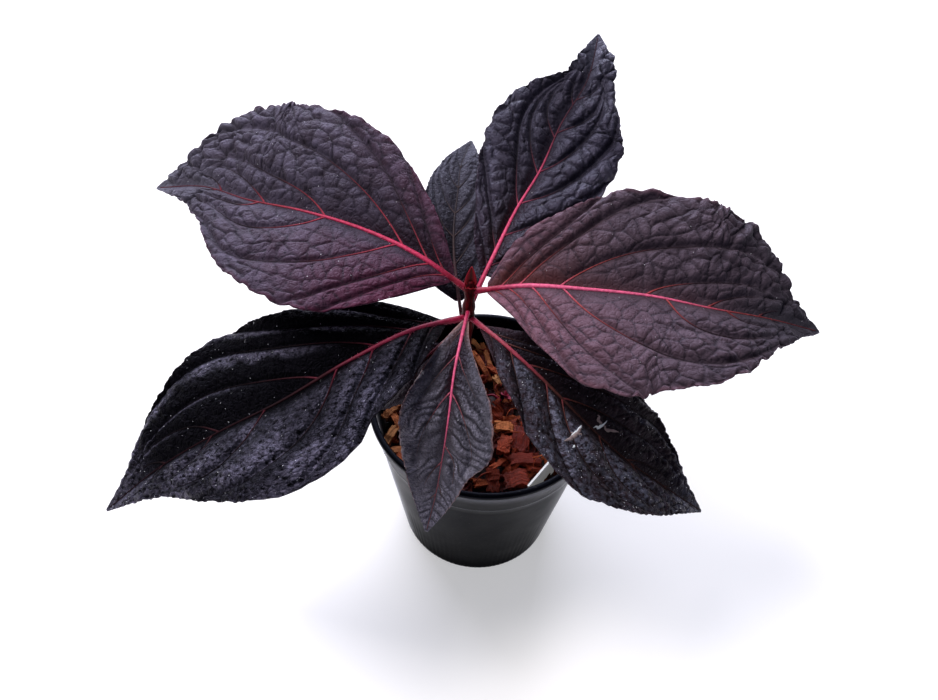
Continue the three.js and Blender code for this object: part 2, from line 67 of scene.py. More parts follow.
LEAVES = {
    "left_top": dict(
        route=[[-10.5, 2.5, 61], [-31, 10.5, 69.5], [-53.5, 18.5, 73], [-77, 24.5, 74],
               [-100, 30.5, 72], [-121.5, 41, 68], [-144, 46, 61]],
        blade_start=0.05, roll=-15, fold=0.32, cup=0.13,
        left=[1.4, 21.5, 36.5, 43.5, 44.5, 41.5, 35, 19.5, 13.5, 7, 0.5],
        right=[1.4, 13, 24.5, 35.5, 41.5, 44.5, 44, 43, 34.5, 13, 0.5],
        left_veins=[[0.04, 0.22], [0.1, 0.3], [0.21, 0.6], [0.43, 1.05], [0.64, 1.4], [0.8, 1.5]],
        right_veins=[[0.05, 0.22], [0.11, 0.4], [0.19, 1], [0.43, 2.5], [0.62, 2.6], [0.78, 2.4]]),
    "right_top": dict(
        route=[[-8.5, 2, 61], [12, 0.5, 68], [34.5, -1.5, 71], [57.5, -2, 71],
               [79.5, -4.5, 70], [101.5, -2, 65], [123, 0.5, 58]],
        blade_start=0.045, roll=15, fold=0.32, cup=0.13,
        left=[3, 18.5, 29, 36.5, 40, 41, 41, 38.5, 31.5, 10.5, 0.5],
        right=[1.4, 15.5, 29.5, 41.5, 45.5, 43, 37.5, 28, 17, 8, 0.5],
        left_veins=[[0.06, 0.26], [0.12, 0.38], [0.24, 1.2], [0.48, 3], [0.66, 3], [0.82, 2.4]],
        right_veins=[[0.04, 0.12], [0.09, 0.2], [0.16, 0.31], [0.25, 0.72], [0.54, 0.8], [0.72, 0.9],
                     [0.86, 0.8]]),
    "back_right": dict(
        route=[[-9.5, 3, 51.5], [-2, 22.5, 61.5], [5, 44, 67], [14, 64, 74],
               [21, 84, 83], [30.5, 101.5, 94], [34, 122, 104]],
        blade_start=0.1, roll=8, fold=0.3, cup=0.14,
        left=[1.4, 10, 14.5, 20.5, 25.5, 27, 25.5, 19.5, 10.5, 6.5, 0.5],
        right=[7, 18, 24, 27.5, 28.5, 29, 28.5, 24, 13, 8.5, 0.5],
        left_veins=[[0.05, 0.15], [0.12, 0.3], [0.31, 0.8], [0.45, 0.7], [0.6, 0.45], [0.74, 0.4],
                    [0.86, 0.3]],
        right_veins=[[0.06, 0.15], [0.18, 0.3], [0.32, 0.43], [0.46, 0.7], [0.62, 0.45], [0.76, 0.2],
                     [0.88, 0.15]]),
    "back": dict(
        route=[[-11.5, 1.5, 41], [-15, 13.5, 49.5], [-18, 27.5, 54.5], [-19.5, 41.5, 59.5],
               [-19.5, 56, 64], [-19.5, 70.5, 67.5], [-16.5, 85, 70]],
        blade_start=0.12, roll=0, fold=0.24, cup=0.14,
        left=[1.4, 10.5, 14.5, 16, 16, 15, 13.5, 12, 8.5, 4.5, 0.5],
        right=[1.4, 10, 13.5, 15, 16, 15.5, 14, 12, 10, 6, 0.5],
        left_veins=[[0.1, 0.25], [0.24, 0.45], [0.4, 0.42], [0.54, 0.38], [0.7, 0.35], [0.84, 0.3]],
        right_veins=[[0.1, 0.25], [0.24, 0.45], [0.4, 0.42], [0.54, 0.38], [0.7, 0.35], [0.84, 0.3]]),
    "front_left": dict(
        route=[[-10, 1.5, 47], [-30.5, -14, 53], [-52, -29.5, 50], [-74, -43, 41],
               [-97, -52, 30], [-119, -61.5, 17], [-138.5, -72.5, 2]],
        blade_start=0.07, roll=-4, fold=0.34, cup=0.17,
        left=[1.4, 13.5, 22.5, 30, 39.5, 40, 35.5, 26.5, 15.5, 7.5, 0.5],
        right=[1.4, 11.5, 22, 28, 33, 35.5, 36, 31.5, 21, 7.5, 0.5],
        left_veins=[[0.05, 0.12], [0.12, 0.22], [0.23, 0.27], [0.33, 0.41], [0.53, 0.42], [0.68, 0.45],
                    [0.83, 0.4]],
        right_veins=[[0.05, 0.25], [0.12, 0.42], [0.22, 0.6], [0.38, 1.35], [0.66, 0.85], [0.82, 0.7]]),
    "front": dict(
        route=[[-9.5, 3.5, 51.5], [-11, -12.5, 52], [-12.5, -27, 46.5], [-13, -39.5, 36.5],
               [-14, -48.5, 23.5], [-15.5, -57.5, 10.5], [-18, -65.5, -3]],
        blade_start=0.09, roll=0, fold=0.28, cup=0.16,
        left=[1.2, 3, 7, 11.5, 15.5, 17.5, 18, 11.5, 8, 4.5, 0.5],
        right=[1.2, 5, 9, 13, 17, 18, 16.5, 13.5, 10.5, 6, 0.5],
        left_veins=[[0.08, 0.2], [0.22, 0.34], [0.39, 0.57], [0.62, 0.4], [0.8, 0.35]],
        right_veins=[[0.08, 0.2], [0.22, 0.34], [0.38, 0.68], [0.7, 0.45], [0.85, 0.35]]),
    "front_right": dict(
        route=[[-9.5, 2, 47], [5, -13, 49.5], [22, -25, 43.5], [38, -34.5, 34],
               [54.5, -40.5, 22], [72, -43, 9.5], [89, -44.5, -3]],
        blade_start=0.07, roll=5, fold=0.4, cup=0.16,
        left=[1.4, 7, 13.5, 19.5, 23.5, 24.5, 23.5, 22.5, 16, 7.5, 0.5],
        right=[1.4, 7, 15, 21, 26, 29, 26, 21.5, 15, 7.5, 0.5],
        left_veins=[[0.06, 0.3], [0.12, 0.5], [0.23, 0.68], [0.38, 1.3], [0.68, 2.3], [0.85, 1.5]],
        right_veins=[[0.06, 0.1], [0.16, 0.18], [0.31, 0.25], [0.38, 0.45], [0.55, 0.35], [0.7, 0.35],
                     [0.84, 0.3]]),
    "low_left": dict(
        route=[[-11, 0.5, 41], [-17, -6.5, 42], [-23.5, -13, 39], [-29.5, -17, 33],
               [-35, -20, 26], [-41.5, -21.5, 19], [-47.5, -21.5, 12]],
        blade_start=0.22, roll=0, fold=0.2, cup=0.1,
        left=[1.2, 9, 13.5, 14.5, 13, 10.5, 8, 6.5, 4.5, 2.5, 0.5],
        right=[1.2, 4.5, 7, 9, 10, 11, 12, 11.5, 8.5, 4.5, 0.5],
        left_veins=[[0.15, 0.3], [0.35, 0.4], [0.6, 0.4], [0.8, 0.3]],
        right_veins=[[0.15, 0.3], [0.35, 0.4], [0.6, 0.4], [0.8, 0.3]]),
}

# How each leaf looks: one value for each leaf, in the order of LEAVES. The near half of a blade
# is the one that lies nearer the front. Sizes are in millimetres.

TONES = dict(
    blade="#302931 #382d34 #211e28 #28272f #020203 #413e45 #130b09 #130c0f",
    pale="#4b4453 #4c3f48 #2f2c36 #3b3a44 #050507 #5c5962 #2c2023 #21181d",  # the blade's paler patches
    base="#1a0a10 #4a2624 #150a0a #0c0707 #010101 #140c0b #0c0504 #100507",  # base, by the midrib
    flush="#4a182c #66404a #240f16 #1b1014 #060203 #9a7068 #2a1216 #2a0912",  # base and margin
    gloom="#4b4952 #2b282d #41404b #202026 #040405 #403e46 #2a282d #100b0e",  # tip
    wax_and_sheen="#4a4652 #4a4248 #343240 #45444f #3b3945 #7d7985 #50525e #3a3038",  # waxy bloom and painted sheen
    stalk="#780a24 #8a0c30 #98163c #6c3035 #8c0832 #9c1440 #8c0a34 #a01e3c",
    midrib="#c03458 #e06086 #c84468 #5c4444 #7a1c36 #d8587e #8c3040 #601a28",
    vein="#8a3440 #8c3c3e #5a2c38 #4c3e3e #34131a #8e4a56 #55302c #38181c",
    vein_end="#2a2026 #2c2026 #241f26 #2c282c #120b0e #55403f #2c1e1c #1a1013")
SURFACE = dict(
    near=(1, -1, -1, -1, 1, -1, -1, 1),  # the near half: 1 left, -1 right
    # Puffed cells across and along the side veins, and how their rows lean (near half, far half)
    cell=((7.5, 4.2), (7.5, 4.4), (10, 5), (4.2, 2.4), (4.6, 3.2), (8, 5), (4.2, 2.8), (3.8, 3)),
    lean=((50, 50), (50, 50), (45, 24), (50, 50), (55, 40), (50, 50), (50, 45), (50, 50)),
    # Relief of the cells and of the rows between the side veins (near half, far half); calm
    # evens the near half's rows by the base
    bulge=((0.95, 1.05), (0.75, 1.3), (1.3, 1.3), (0.6, 0.6), (0.75, 0.4), (0.2, 0.2), (0.8, 0.5),
           (0.3, 0.3)),
    furrow=((1.5, 1.5), (1.3, 1.6), (2, 1.1), (0.4, 0.4), (2, 1), (1.9, 1.9), (1.5, 1.1), (0.8, 0.8)),
    calm=(0.7, 0, 0, 0, 0, 0, 0, 0),
    # Folds and their size, pleats across the tip, short wrinkles, lobes of the margin
    crumple=(0.6, 0.8, 0.3, 0.2, 0.35, 0.35, 0.4, 0.2),
    fold=(1, 1, 0.9, 1, 0.6, 1, 0.5, 1),
    pleat=(0.9, 1, 0.6, 0, 0.3, 0, 0.5, 0),
    stroke=(0, 0, 0, 0, 0, 1, 0.1, 0),
    lobe=(1.2, 1.9, 1.7, 0.4, 0.7, 0.5, 0.6, 0.3),
    # Where the tones lie: gloom from here on, reach of the flush, flush of the near half and its
    # reach, flush of the margin, reach of the base's tone and its share in the near half
    gloom_from=(0.75, 0.6, 0.8, 0.9, 0.9, 0.85, 0.85, 0.9),
    flush_reach=(0.3, 0.22, 0.25, 0.2, 0.2, 0.1, 0.16, 0.4),
    near_tint=((0.65, 0.42), (0.7, 0.4), (0, 0.5), (0, 0.5), (0, 0.5), (0, 0.5), (0, 0.5), (0.3, 0.5)),
    edge=(0.4, 0.4, 0.4, 0.4, 0.4, 0.9, 0.4, 0.4),
    base_at=((0.34, 0.42), (0.26, 0.3), (0.35, 0.8), (0.68, 1), (0.3, 1), (0.5, 1), (0.3, 1), (0.3, 1)),
    dark=(0.15, 0.15, 0.15, 0.3, 0.3, 0.08, 0.3, 0.3),  # painted shade of the creases and pits, as a share of the blade's tone
    # Waxy bloom and painted sheen of the near half and of bands by the far half's veins, its
    # patches, and the value of their noise that they start from
    bloom=((0, 0), (0, 0), (0.4, 0.6), (0.3, 0.3), (1, 0.9), (0.15, 0.15), (0.85, 0.5), (0.3, 0.3)),
    mottle=(2.5, 2.5, 2.2, 2, 2, 0.9, 2, 2),
    wax_and_sheen_from=(0.43, 0.43, 0.4, 0.4, 0.4, 0.41, 0.43, 0.42),
    pit=(0.16, 0.1, 0.24, 0.1, 0.12, 0.08, 0.12, 0.1),  # size of the pits
    net=(2.1, 2.1, 2.6, 1.6, 1.7, 1.7, 1.6, 1.6),  # width of the finest meshes
    grain=(0.3, 0.3, 0.3, 0.25, 0.42, 0.4, 0.28, 0.3),  # their relief
    # Lowest and highest roughness, gloss of bare skin and of the patches of bloom and painted sheen, down
    rough=((0.45, 0.62), (0.45, 0.62), (0.3, 0.46), (0.4, 0.58), (0.26, 0.46), (0.24, 0.4), (0.28, 0.48),
           (0.34, 0.52)),
    gloss=((0.2, 0.2), (0.2, 0.2), (0.22, 0.55), (0.2, 0.35), (0.05, 0.8), (0.3, 1), (0.12, 0.6),
           (0.1, 0.3)),
    sheen=(0.1, 0.1, 0.03, 0.04, 0, 0.02, 0, 0.02),
    specks=(45, 35, 8, 3, 160, 8, 220, 4),  # how many lie on the blade
    pink=(0.75, 0.95, 0.8, 0.5, 0.5, 0.9, 0.45, 0.5),  # where the midrib turns brown
    reach=(0.9, 0.85, 0.66, 0.8, 0.85, 0.72, 0.8, 0.8))  # how far out the side veins go
TONES = {key: row.split() for key, row in TONES.items()}
LOOKS = {name: {key: row[i] for key, row in {**TONES, **SURFACE}.items()} for i, name in enumerate(LEAVES)}

# Dry scars on the front right leaf: places on the blade (u, v), greatest half width, 1 if brown

SCARS = [
    ([(0.427, -0.59), (0.448, -0.39), (0.449, -0.1)], 0.7, 1), ([(0.44, -0.42), (0.449, -0.12)], 0.36, 0),
    ([(0.434, -0.34), (0.461, -0.28)], 0.4, 1), ([(0.492, 0.02), (0.505, 0.1), (0.51, 0.2)], 0.5, 0),
    ([(0.472, 0.19), (0.504, 0.12)], 0.45, 1), ([(0.505, 0.1), (0.536, 0.16), (0.565, 0.2)], 0.55, 1),
    ([(0.455, -0.57), (0.459, -0.5)], 0.3, 0),
]

# Chips that lie in sight: x, y, heading and tilt in degrees, length, width, thickness, curl and
# how pale and dry

CHIPS = [
    (8.8, -7.4, 7, 8, 7.5, 4.6, 2.2, 0.1, 0.86), (16.3, -13.2, 78, -10, 12, 7.2, 1.8, 0.12, 0.28),
    (9.8, -16.5, 84, 6, 10, 5.4, 2.4, 0.2, 0.44), (18.6, -23, 14, 5, 13, 5, 2.6, 0.5, 0.32),
    (7.7, -26.4, 49, 12, 8.5, 2.2, 1.4, 0.1, 0.58), (6.1, -34.8, -86, 14, 10, 5, 1.8, 0.05, 0.38),
    (15.6, -33.2, 12, -8, 9.5, 7.5, 3.4, 0.3, 0.34), (1.6, -36.6, 17, 5, 6, 3, 1.8, 0.1, 0.66),
    (-6.2, 38.3, -48, 10, 9, 2, 1.5, 0.6, 0.95), (-3.4, 26.5, -58, 6, 18, 2.3, 1.6, 0.3, 0.82),
    (-1.6, 33.3, -72, -6, 17, 2, 1.4, 0.25, 0.88), (4.5, 18.1, -42, 4, 4.4, 3, 1.8, 0.1, 1),
    (3.2, 23.6, -30, 9, 8, 2.6, 1.6, 0.4, 0.62), (-40.5, -3.4, 62, 8, 10, 3.2, 1.8, 0.3, 0.92),
    (-36.6, -9.8, -55, 5, 9, 3, 1.6, 0.4, 0.84), (-39, -16.6, 70, -8, 9.5, 3.4, 2, 0.3, 0.97),
    (-35.4, -23.8, 20, 10, 9, 3.2, 1.8, 0.35, 0.9), (-31.2, -29.4, -40, 6, 9, 4, 2, 0.2, 0.7),
]

# Blade: sheet, distance of its points and forward sweep of their rows; least half width; half
# width and vein distance from which the relief is full; teeth, lobes, wave of the margin; where
# the tip grows calm. Then widths: a vein's trough, the painted shade of a crease, folds along
# and across, small folds, wrinkles, pleats.

BLADE = dict(thickness=0.32, step=0.5, sweep=0.42, sweep_from=0.25, least=0.5, full_half=14, full_gap=11,
             tooth=0.42, tooth_pitch=3.1, lobe_pitch=10.5, wave=1.1, tip=(0.68, 0.88),
             trough=1.1, crease=0.5, fold=(9, 4.6), small_fold=(4.2, 2.4), wrinkle=3.2, pleat=6)
RIB = dict(stem=1.4, blade=1.1, tip=0.2, taper=1.6, sink=0.42, sides=12, steps=90, reach=0.985)
VEIN = dict(start=0.4, end=0.08, lift=0.2, sides=6, steps=40, fork=3.5, fork_reach=3, squash=0.7)


# Colour and nodes

def linear(code):
    """An sRGB hex colour as linear red, green, blue and alpha"""
    parts = [int(code[i:i + 2], 16) / 255 for i in (1, 3, 5)]
    return [c / 12.92 if c <= 0.04045 else ((c + 0.055) / 1.055) ** 2.4 for c in parts] + [1.0]


def feed(node, *inputs, **named):
    """Sets or links a node's inputs, in their order or by name with _ for a space. A hex colour
    becomes linear, and a node stands for its first output in use."""
    ready = [socket for socket in node.inputs if socket.enabled]
    called = {socket.name.replace(" ", "_"): socket for socket in ready}
    for socket, value in [*zip(ready, inputs), *((called[key], value) for key, value in named.items())]:
        if isinstance(value, bpy.types.Node):
            value = next(output for output in value.outputs if output.enabled)
        if isinstance(value, bpy.types.NodeSocket):
            node.id_data.links.new(value, socket)
        else:
            socket.default_value = linear(value) if str(value).startswith("#") else value


def add(tree, kind, *inputs, stops=None, **named):
    """Adds a node, gives it its settings (the names in small letters) and a ramp its stops, and
    feeds its inputs. A Mix node mixes colours."""
    families = ("ShaderNode", "GeometryNode", "FunctionNode", "Node")
    node = tree.nodes.new(next(family + kind for family in families if hasattr(bpy.types, family + kind)))
    if kind == "Mix":
        node.data_type = "RGBA"
    for key in [key for key in named if key.islower()]:
        setattr(node, key, named.pop(key))
    feed(node, *inputs, **named)
    if stops:
        ramp = node.color_ramp.elements
        while len(ramp) < len(stops):
            ramp.new(0.5)
        for element, (at, tone) in zip(ramp, stops.items()):
            element.position, element.color = at, linear(tone)
    return node


def new_material(name, **constants):
    """A material with one Principled surface; constants go on the shader's own sockets"""
    material = bpy.data.materials.new(name)
    material.use_nodes = True
    tree = material.node_tree
    tree.nodes.clear()
    skin = add(tree, "BsdfPrincipled", **constants)
    add(tree, "OutputMaterial", Surface=skin)
    return material, tree, skin


def blade_tissue(name, look):
    """Living leaf blade, upper side: a waxy, faintly downy skin over dark red sap, in patchy
    slate and plum with a broken soft gloss. The paler patches are waxy bloom and painted sheen,
    and shade is painted near black into the creases and pits."""
    material, tree, skin = new_material(
        f"leaf_blade_{name}", IOR=1.45, Specular_Tint="#dccbf4", Sheen_Weight=look["sheen"],
        Sheen_Roughness=0.5, Sheen_Tint="#c9b9cc")
    place = add(tree, "UVMap", uv_map="blade_mm")
    tissue = add(tree, "Attribute", attribute_name="tissue")
    flush, crease, gloom = add(tree, "SeparateColor", tissue).outputs
    patches = add(tree, "TexNoise", place, Scale=1 / 7, Detail=5, Roughness=0.65)
    patch = add(tree, "MapRange", patches, 0.38, 0.66)
    colour = add(tree, "Mix", patch, look["blade"], look["pale"])
    for amount, tone in ((tissue.outputs["Alpha"], "base"), (flush, "flush"), (gloom, "gloom")):
        colour = add(tree, "Mix", amount, colour, look[tone])
    # Painted shade: the creases between the puffed cells are darkened towards a share of the blade's tone
    dark = [look["dark"] * c for c in linear(look["blade"])[:3]] + [1]
    crease_shade = add(tree, "Math", crease, 0.85, operation="MULTIPLY")
    colour = add(tree, "Mix", crease_shade, colour, dark)
    # Waxy bloom and painted sheen in broken patches down to about 0.4 mm: a paler tone and more gloss
    bloom = add(tree, "Attribute", attribute_name="bloom").outputs["Fac"]
    broken = add(tree, "TexNoise", place, Scale=1 / look["mottle"], Detail=6, Roughness=0.72)
    wax_and_sheen = add(tree, "MapRange", broken, look["wax_and_sheen_from"], look["wax_and_sheen_from"] + 0.17)
    wax_and_sheen_share = add(tree, "Math", wax_and_sheen, bloom, operation="MULTIPLY")
    gloss = add(tree, "MapRange", wax_and_sheen_share, 0, 0.8, *look["gloss"])
    colour = add(tree, "Mix", wax_and_sheen_share, colour, look["wax_and_sheen"])
    # Pits about 0.5 mm wide, a few millimetres apart, painted dark as shade
    pits = add(tree, "TexVoronoi", place, Scale=1 / 2.6)
    pit = add(tree, "MapRange", pits, look["pit"], look["pit"] + 0.08, 0.75, 0)
    some = add(tree, "MapRange", patches, 0.5, 0.58)
    pitted = add(tree, "Math", pit, some, operation="MULTIPLY")
    colour = add(tree, "Mix", pitted, colour, dark)
    blotch = add(tree, "TexNoise", place, Scale=1 / 2.2, Detail=4, Roughness=0.7)
    rough = add(tree, "MapRange", blotch, 0.35, 0.65, *look["rough"])
    # The finest net of veins, sunk between meshes a millimetre or two wide
    net = add(tree, "TexVoronoi", place, Scale=1 / look["net"], feature="DISTANCE_TO_EDGE")
    mesh = add(tree, "MapRange", net, 0, 0.22)
    grain = add(tree, "TexNoise", place, Scale=1 / 0.6, Detail=4, Roughness=0.7)
    relief = add(tree, "Math", mesh, 0.7, grain, operation="MULTIPLY_ADD")
    bump = add(tree, "Bump", Height=relief, Distance=look["grain"] * MM, Strength=0.9)
    feed(skin, Base_Color=colour, Roughness=rough, Specular_IOR_Level=gloss, Normal=bump)
    return material


def blade_underside():
    """Leaf blade, lower side: matt, downy and deep maroon"""
    material, tree, skin = new_material("leaf_underside", IOR=1.4, Roughness=0.7, Sheen_Weight=0.3)
    place = add(tree, "UVMap", uv_map="blade_mm")
    patches = add(tree, "TexNoise", place, Scale=1 / 5, Detail=5)
    colour = add(tree, "Mix", patches, "#2c0f1b", "#51203a")
    grain = add(tree, "TexNoise", place, Scale=1 / 0.8, Detail=3)
    bump = add(tree, "Bump", Height=grain, Distance=0.15 * MM, Strength=0.7)
    feed(skin, Base_Color=colour, Normal=bump)
    return material


def rib_skin(name, look):
    """Stalk, midrib and veins: juicy crimson tissue with a soft down, paler where the blade
    begins, browner in the side veins, which sink into the blade's own colour"""
    material, tree, skin = new_material(f"leaf_rib_{name}", IOR=1.42, Roughness=0.48, Sheen_Tint="#ffc4d2")
    fade = add(tree, "Attribute", attribute_name="fade").outputs["Fac"]
    down = add(tree, "MapRange", fade, 0.3, 0.6, 0.06, 0)
    gloss = add(tree, "MapRange", fade, 0.3, 0.6, 0.25, 0.06)
    tone = add(tree, "ValToRGB", fade, stops={
        0.07: look["stalk"], 0.3: look["midrib"], 0.62: look["vein"], 1: look["vein_end"]})
    place = add(tree, "TexCoord").outputs["Object"]
    streak = add(tree, "TexNoise", place, Scale=1 / (1.2 * MM), Detail=4)
    shade = add(tree, "MapRange", streak, 0.35, 0.7, 0.72, 1.25)
    colour = add(tree, "VectorMath", tone, shade, operation="SCALE")
    bump = add(tree, "Bump", Height=streak, Distance=0.12 * MM, Strength=0.6)
    feed(skin, Base_Color=colour, Sheen_Weight=down, Specular_IOR_Level=gloss, Normal=bump)
    return material


def stem_skin():
    """Young woody stem: dark red-brown skin with fine length-ways streaks"""
    material, tree, skin = new_material("stem_skin", IOR=1.45, Roughness=0.45, Specular_IOR_Level=0.04)
    stretched = add(tree, "Mapping", add(tree, "TexCoord").outputs["Object"], Scale=(1, 1, 0.18))
    streak = add(tree, "TexNoise", stretched, Scale=1 / (0.9 * MM), Detail=4)
    colour = add(tree, "ValToRGB", streak, stops={0.35: "#1c0204", 0.7: "#560a12"})
    bump = add(tree, "Bump", Height=streak, Distance=0.25 * MM, Strength=0.6)
    feed(skin, Base_Color=colour, Normal=bump)
    return material


def young_leaf_skin(name, keel, margin):
    """Folded young leaves: thin, satin and full of red sap, another tone at their margins"""
    material, tree, skin = new_material(name, IOR=1.42, Roughness=0.42, Specular_IOR_Level=0.15)
    fade = add(tree, "Attribute", attribute_name="fade").outputs["Fac"]
    feed(skin, Base_Color=add(tree, "ValToRGB", fade, stops={0.15: keel, 0.8: margin}))
    return material


def pot_plastic():
    """Thin thermoformed polystyrene, dyed black: satin, duller towards its foot, with a fine
    orange-peel skin, specks of dust and slightly uneven gloss from the mould"""
    material, tree, skin = new_material(
        "pot_plastic", IOR=1.5, Specular_Tint="#c3c8f6", Sheen_Weight=0.85, Sheen_Roughness=0.13)
    place = add(tree, "TexCoord").outputs["Object"]
    height = add(tree, "SeparateXYZ", place).outputs["Z"]
    gloss = add(tree, "MapRange", height, 5 * MM, 80 * MM, 0.002, 0.055)
    cloud = add(tree, "TexNoise", place, Scale=1 / (14 * MM), Detail=5)
    colour = add(tree, "Mix", cloud, "#030306", "#06060b")
    dust = add(tree, "TexNoise", place, Scale=1 / (0.8 * MM), Detail=2)
    dusty = add(tree, "MapRange", dust, 0.68, 0.78, 0, 0.35)
    colour = add(tree, "Mix", dusty, colour, "#5a5650")
    rough = add(tree, "MapRange", cloud, 0.3, 0.7, 0.3, 0.42)
    peel = add(tree, "TexNoise", place, Scale=1 / (2 * MM), Detail=2)
    bump = add(tree, "Bump", Height=peel, Distance=0.05 * MM, Strength=0.5)
    feed(skin, Base_Color=colour, Roughness=rough, Specular_IOR_Level=gloss, Normal=bump)
    return material


def label_plastic():
    """Die-cut white polystyrene sheet with potting dust on it. A faint white glow is painted
    light, and painted shade darkens it from 80 mm down to 76 mm, where it stands in the medium"""
    # Painted light: a faint white glow
    material, tree, skin = new_material(
        "label_plastic", IOR=1.5, Roughness=0.42, Emission_Color="#ffffff", Emission_Strength=0.12)
    place = add(tree, "TexCoord").outputs["Object"]
    dust = add(tree, "TexNoise", place, Scale=1 / (2.5 * MM), Detail=6)
    dusty = add(tree, "MapRange", dust, 0.52, 0.75, 0, 0.6)
    colour = add(tree, "Mix", dusty, "#eeeeec", "#a39a92")
    height = add(tree, "SeparateXYZ", place).outputs["Z"]
    # Painted shade: darker from 80 mm down to 76 mm, towards the medium
    painted_shade_low = add(tree, "MapRange", height, 80 * MM, 76 * MM)
    feed(skin, Base_Color=add(tree, "Mix", painted_shade_low, colour, "#3a322e"))
    return material


def husk_fibre():
    """Coconut husk cut in chips: tan where dry, orange to dark red where wet, with fibres
    about 0.3 mm thick that run along each chip. Painted shade darkens them the lower they lie."""
    material, tree, skin = new_material("husk_fibre", IOR=1.45, Specular_IOR_Level=0.12)
    tone = add(tree, "Attribute", attribute_name="chip_tone").outputs["Fac"]
    place = add(tree, "Attribute", attribute_name="chip_place").outputs["Vector"]
    shifted = add(tree, "VectorMath", place, tone, (40, 40, 40), operation="MULTIPLY_ADD")
    own = add(tree, "VectorMath", place, shifted, operation="ADD")
    stretched = add(tree, "Mapping", own, Scale=(1.1, 11, 5))
    fibre = add(tree, "TexNoise", stretched, Scale=1, Detail=4, Roughness=0.65)
    husk = add(tree, "ValToRGB", tone, stops={
        0: "#2f0d0a", 0.3: "#6a2015", 0.55: "#b04c2e", 0.8: "#c4683c", 1: "#d89660"})
    height = add(tree, "SeparateXYZ", add(tree, "TexCoord").outputs["Object"]).outputs["Z"]
    # Painted shade: chips grow darker the lower they lie
    depth = add(tree, "MapRange", height, 71 * MM, 78.5 * MM, 0.12, 1.2)
    shade = add(tree, "MapRange", fibre, 0.3, 0.7, 0.2, 1.4)
    shade = add(tree, "Math", shade, depth, operation="MULTIPLY")
    colour = add(tree, "VectorMath", husk, shade, operation="SCALE")
    rough = add(tree, "MapRange", tone, 0.2, 0.7, 0.42, 0.85)
    bump = add(tree, "Bump", Height=fibre, Distance=0.8 * MM, Strength=1)
    feed(skin, Base_Color=colour, Roughness=rough, Normal=bump)
    return material


def wet_bed():
    """The bed under the chips: fine wet fibre, painted nearly black as the shade in the gaps between the
    chips
    """
    material, tree, skin = new_material("wet_bed", IOR=1.4, Roughness=0.7)
    crumbs = add(tree, "TexNoise", add(tree, "TexCoord").outputs["Object"], Scale=1 / (2 * MM), Detail=5)
    # Painted shade: crumbs from near black to dark brown
    feed(skin, Base_Color=add(tree, "Mix", crumbs, "#080403", "#2e140e"))
    return material


def scar_tissue():
    """Healed scratches: dry dead tissue, silvery where the skin has lifted"""
    material, tree, skin = new_material("dry_scar", IOR=1.45, Roughness=0.6)
    brown = add(tree, "Attribute", attribute_name="fade").outputs["Fac"]
    feed(skin, Base_Color=add(tree, "Mix", brown, "#cfd3d6", "#6e5450"))
    return material


# Numbers: smooth curves, repeatable noise, frames

def smooth_read(values, share):
    """Value and slope of the smooth curve through evenly spaced values, at shares 0 to 1"""
    values = np.asarray(values, float)
    padded = np.concatenate([[2 * values[0] - values[1]], values, [2 * values[-1] - values[-2]]])
    last = len(values) - 1
    place = np.clip(share, 0, 1) * last
    i = np.minimum(place.astype(int), last - 1)
    w = place - i
    if values.ndim > 1:
        w = w[..., None]
    span = padded[i + 2] - padded[i + 1]
    rise = (padded[i + 2] - padded[i]) / 2
    leave = (padded[i + 3] - padded[i + 1]) / 2
    bend = 3 * span - 2 * rise - leave
    twist = rise + leave - 2 * span
    return padded[i + 1] + w * (rise + w * (bend + w * twist)), rise + w * (2 * bend + 3 * w * twist)


def unit(vectors):
    return vectors / np.maximum(np.linalg.norm(vectors, axis=-1, keepdims=True), 1e-9)


def ease(low, high, value):
    """A smooth step from 0 at low to 1 at high"""
    t = np.clip((value - low) / (high - low), 0, 1)
    return t * t * (3 - 2 * t)


def bell(value, width):
    """1 at 0, falling off to both sides over a width"""
    return np.exp(-((value / width) ** 2))


def hashed(a, b, salt):
    """A repeatable random number from 0 to 1 for whole numbers a and b"""
    return np.modf(np.abs(np.sin(a * 127.1 + b * 311.7 + salt * 74.7) * 43758.5453))[0]


def noise(x, y, salt):
    """Smooth noise from -1 to 1 with features one unit wide"""
    ix, iy = np.floor(x), np.floor(y)
    fx, fy = ease(0, 1, x - ix), ease(0, 1, y - iy)
    low = hashed(ix, iy, salt) * (1 - fx) + hashed(ix + 1, iy, salt) * fx
    high = hashed(ix, iy + 1, salt) * (1 - fx) + hashed(ix + 1, iy + 1, salt) * fx
    return 2 * (low * (1 - fy) + high * fy) - 1


def leaf_frame(leaf, share):
    """Centre and axes left and up at shares of the leaf's route"""
    centre, along = smooth_read(np.array(leaf["route"], float) + [0, 0, POT["height"]], share)
    along = unit(along)
    level = unit(np.cross([0.0, 0.0, 1.0], along))
    upright = np.cross(along, level)
    roll = math.radians(leaf["roll"])
    left = level * math.cos(roll) + upright * math.sin(roll)
    return centre, left, upright * math.cos(roll) - level * math.sin(roll)


def blade_length(leaf):
    points = leaf_frame(leaf, np.linspace(leaf["blade_start"], 1, 60))[0]
    return float(np.linalg.norm(np.diff(points, axis=0), axis=1).sum())


# Meshes

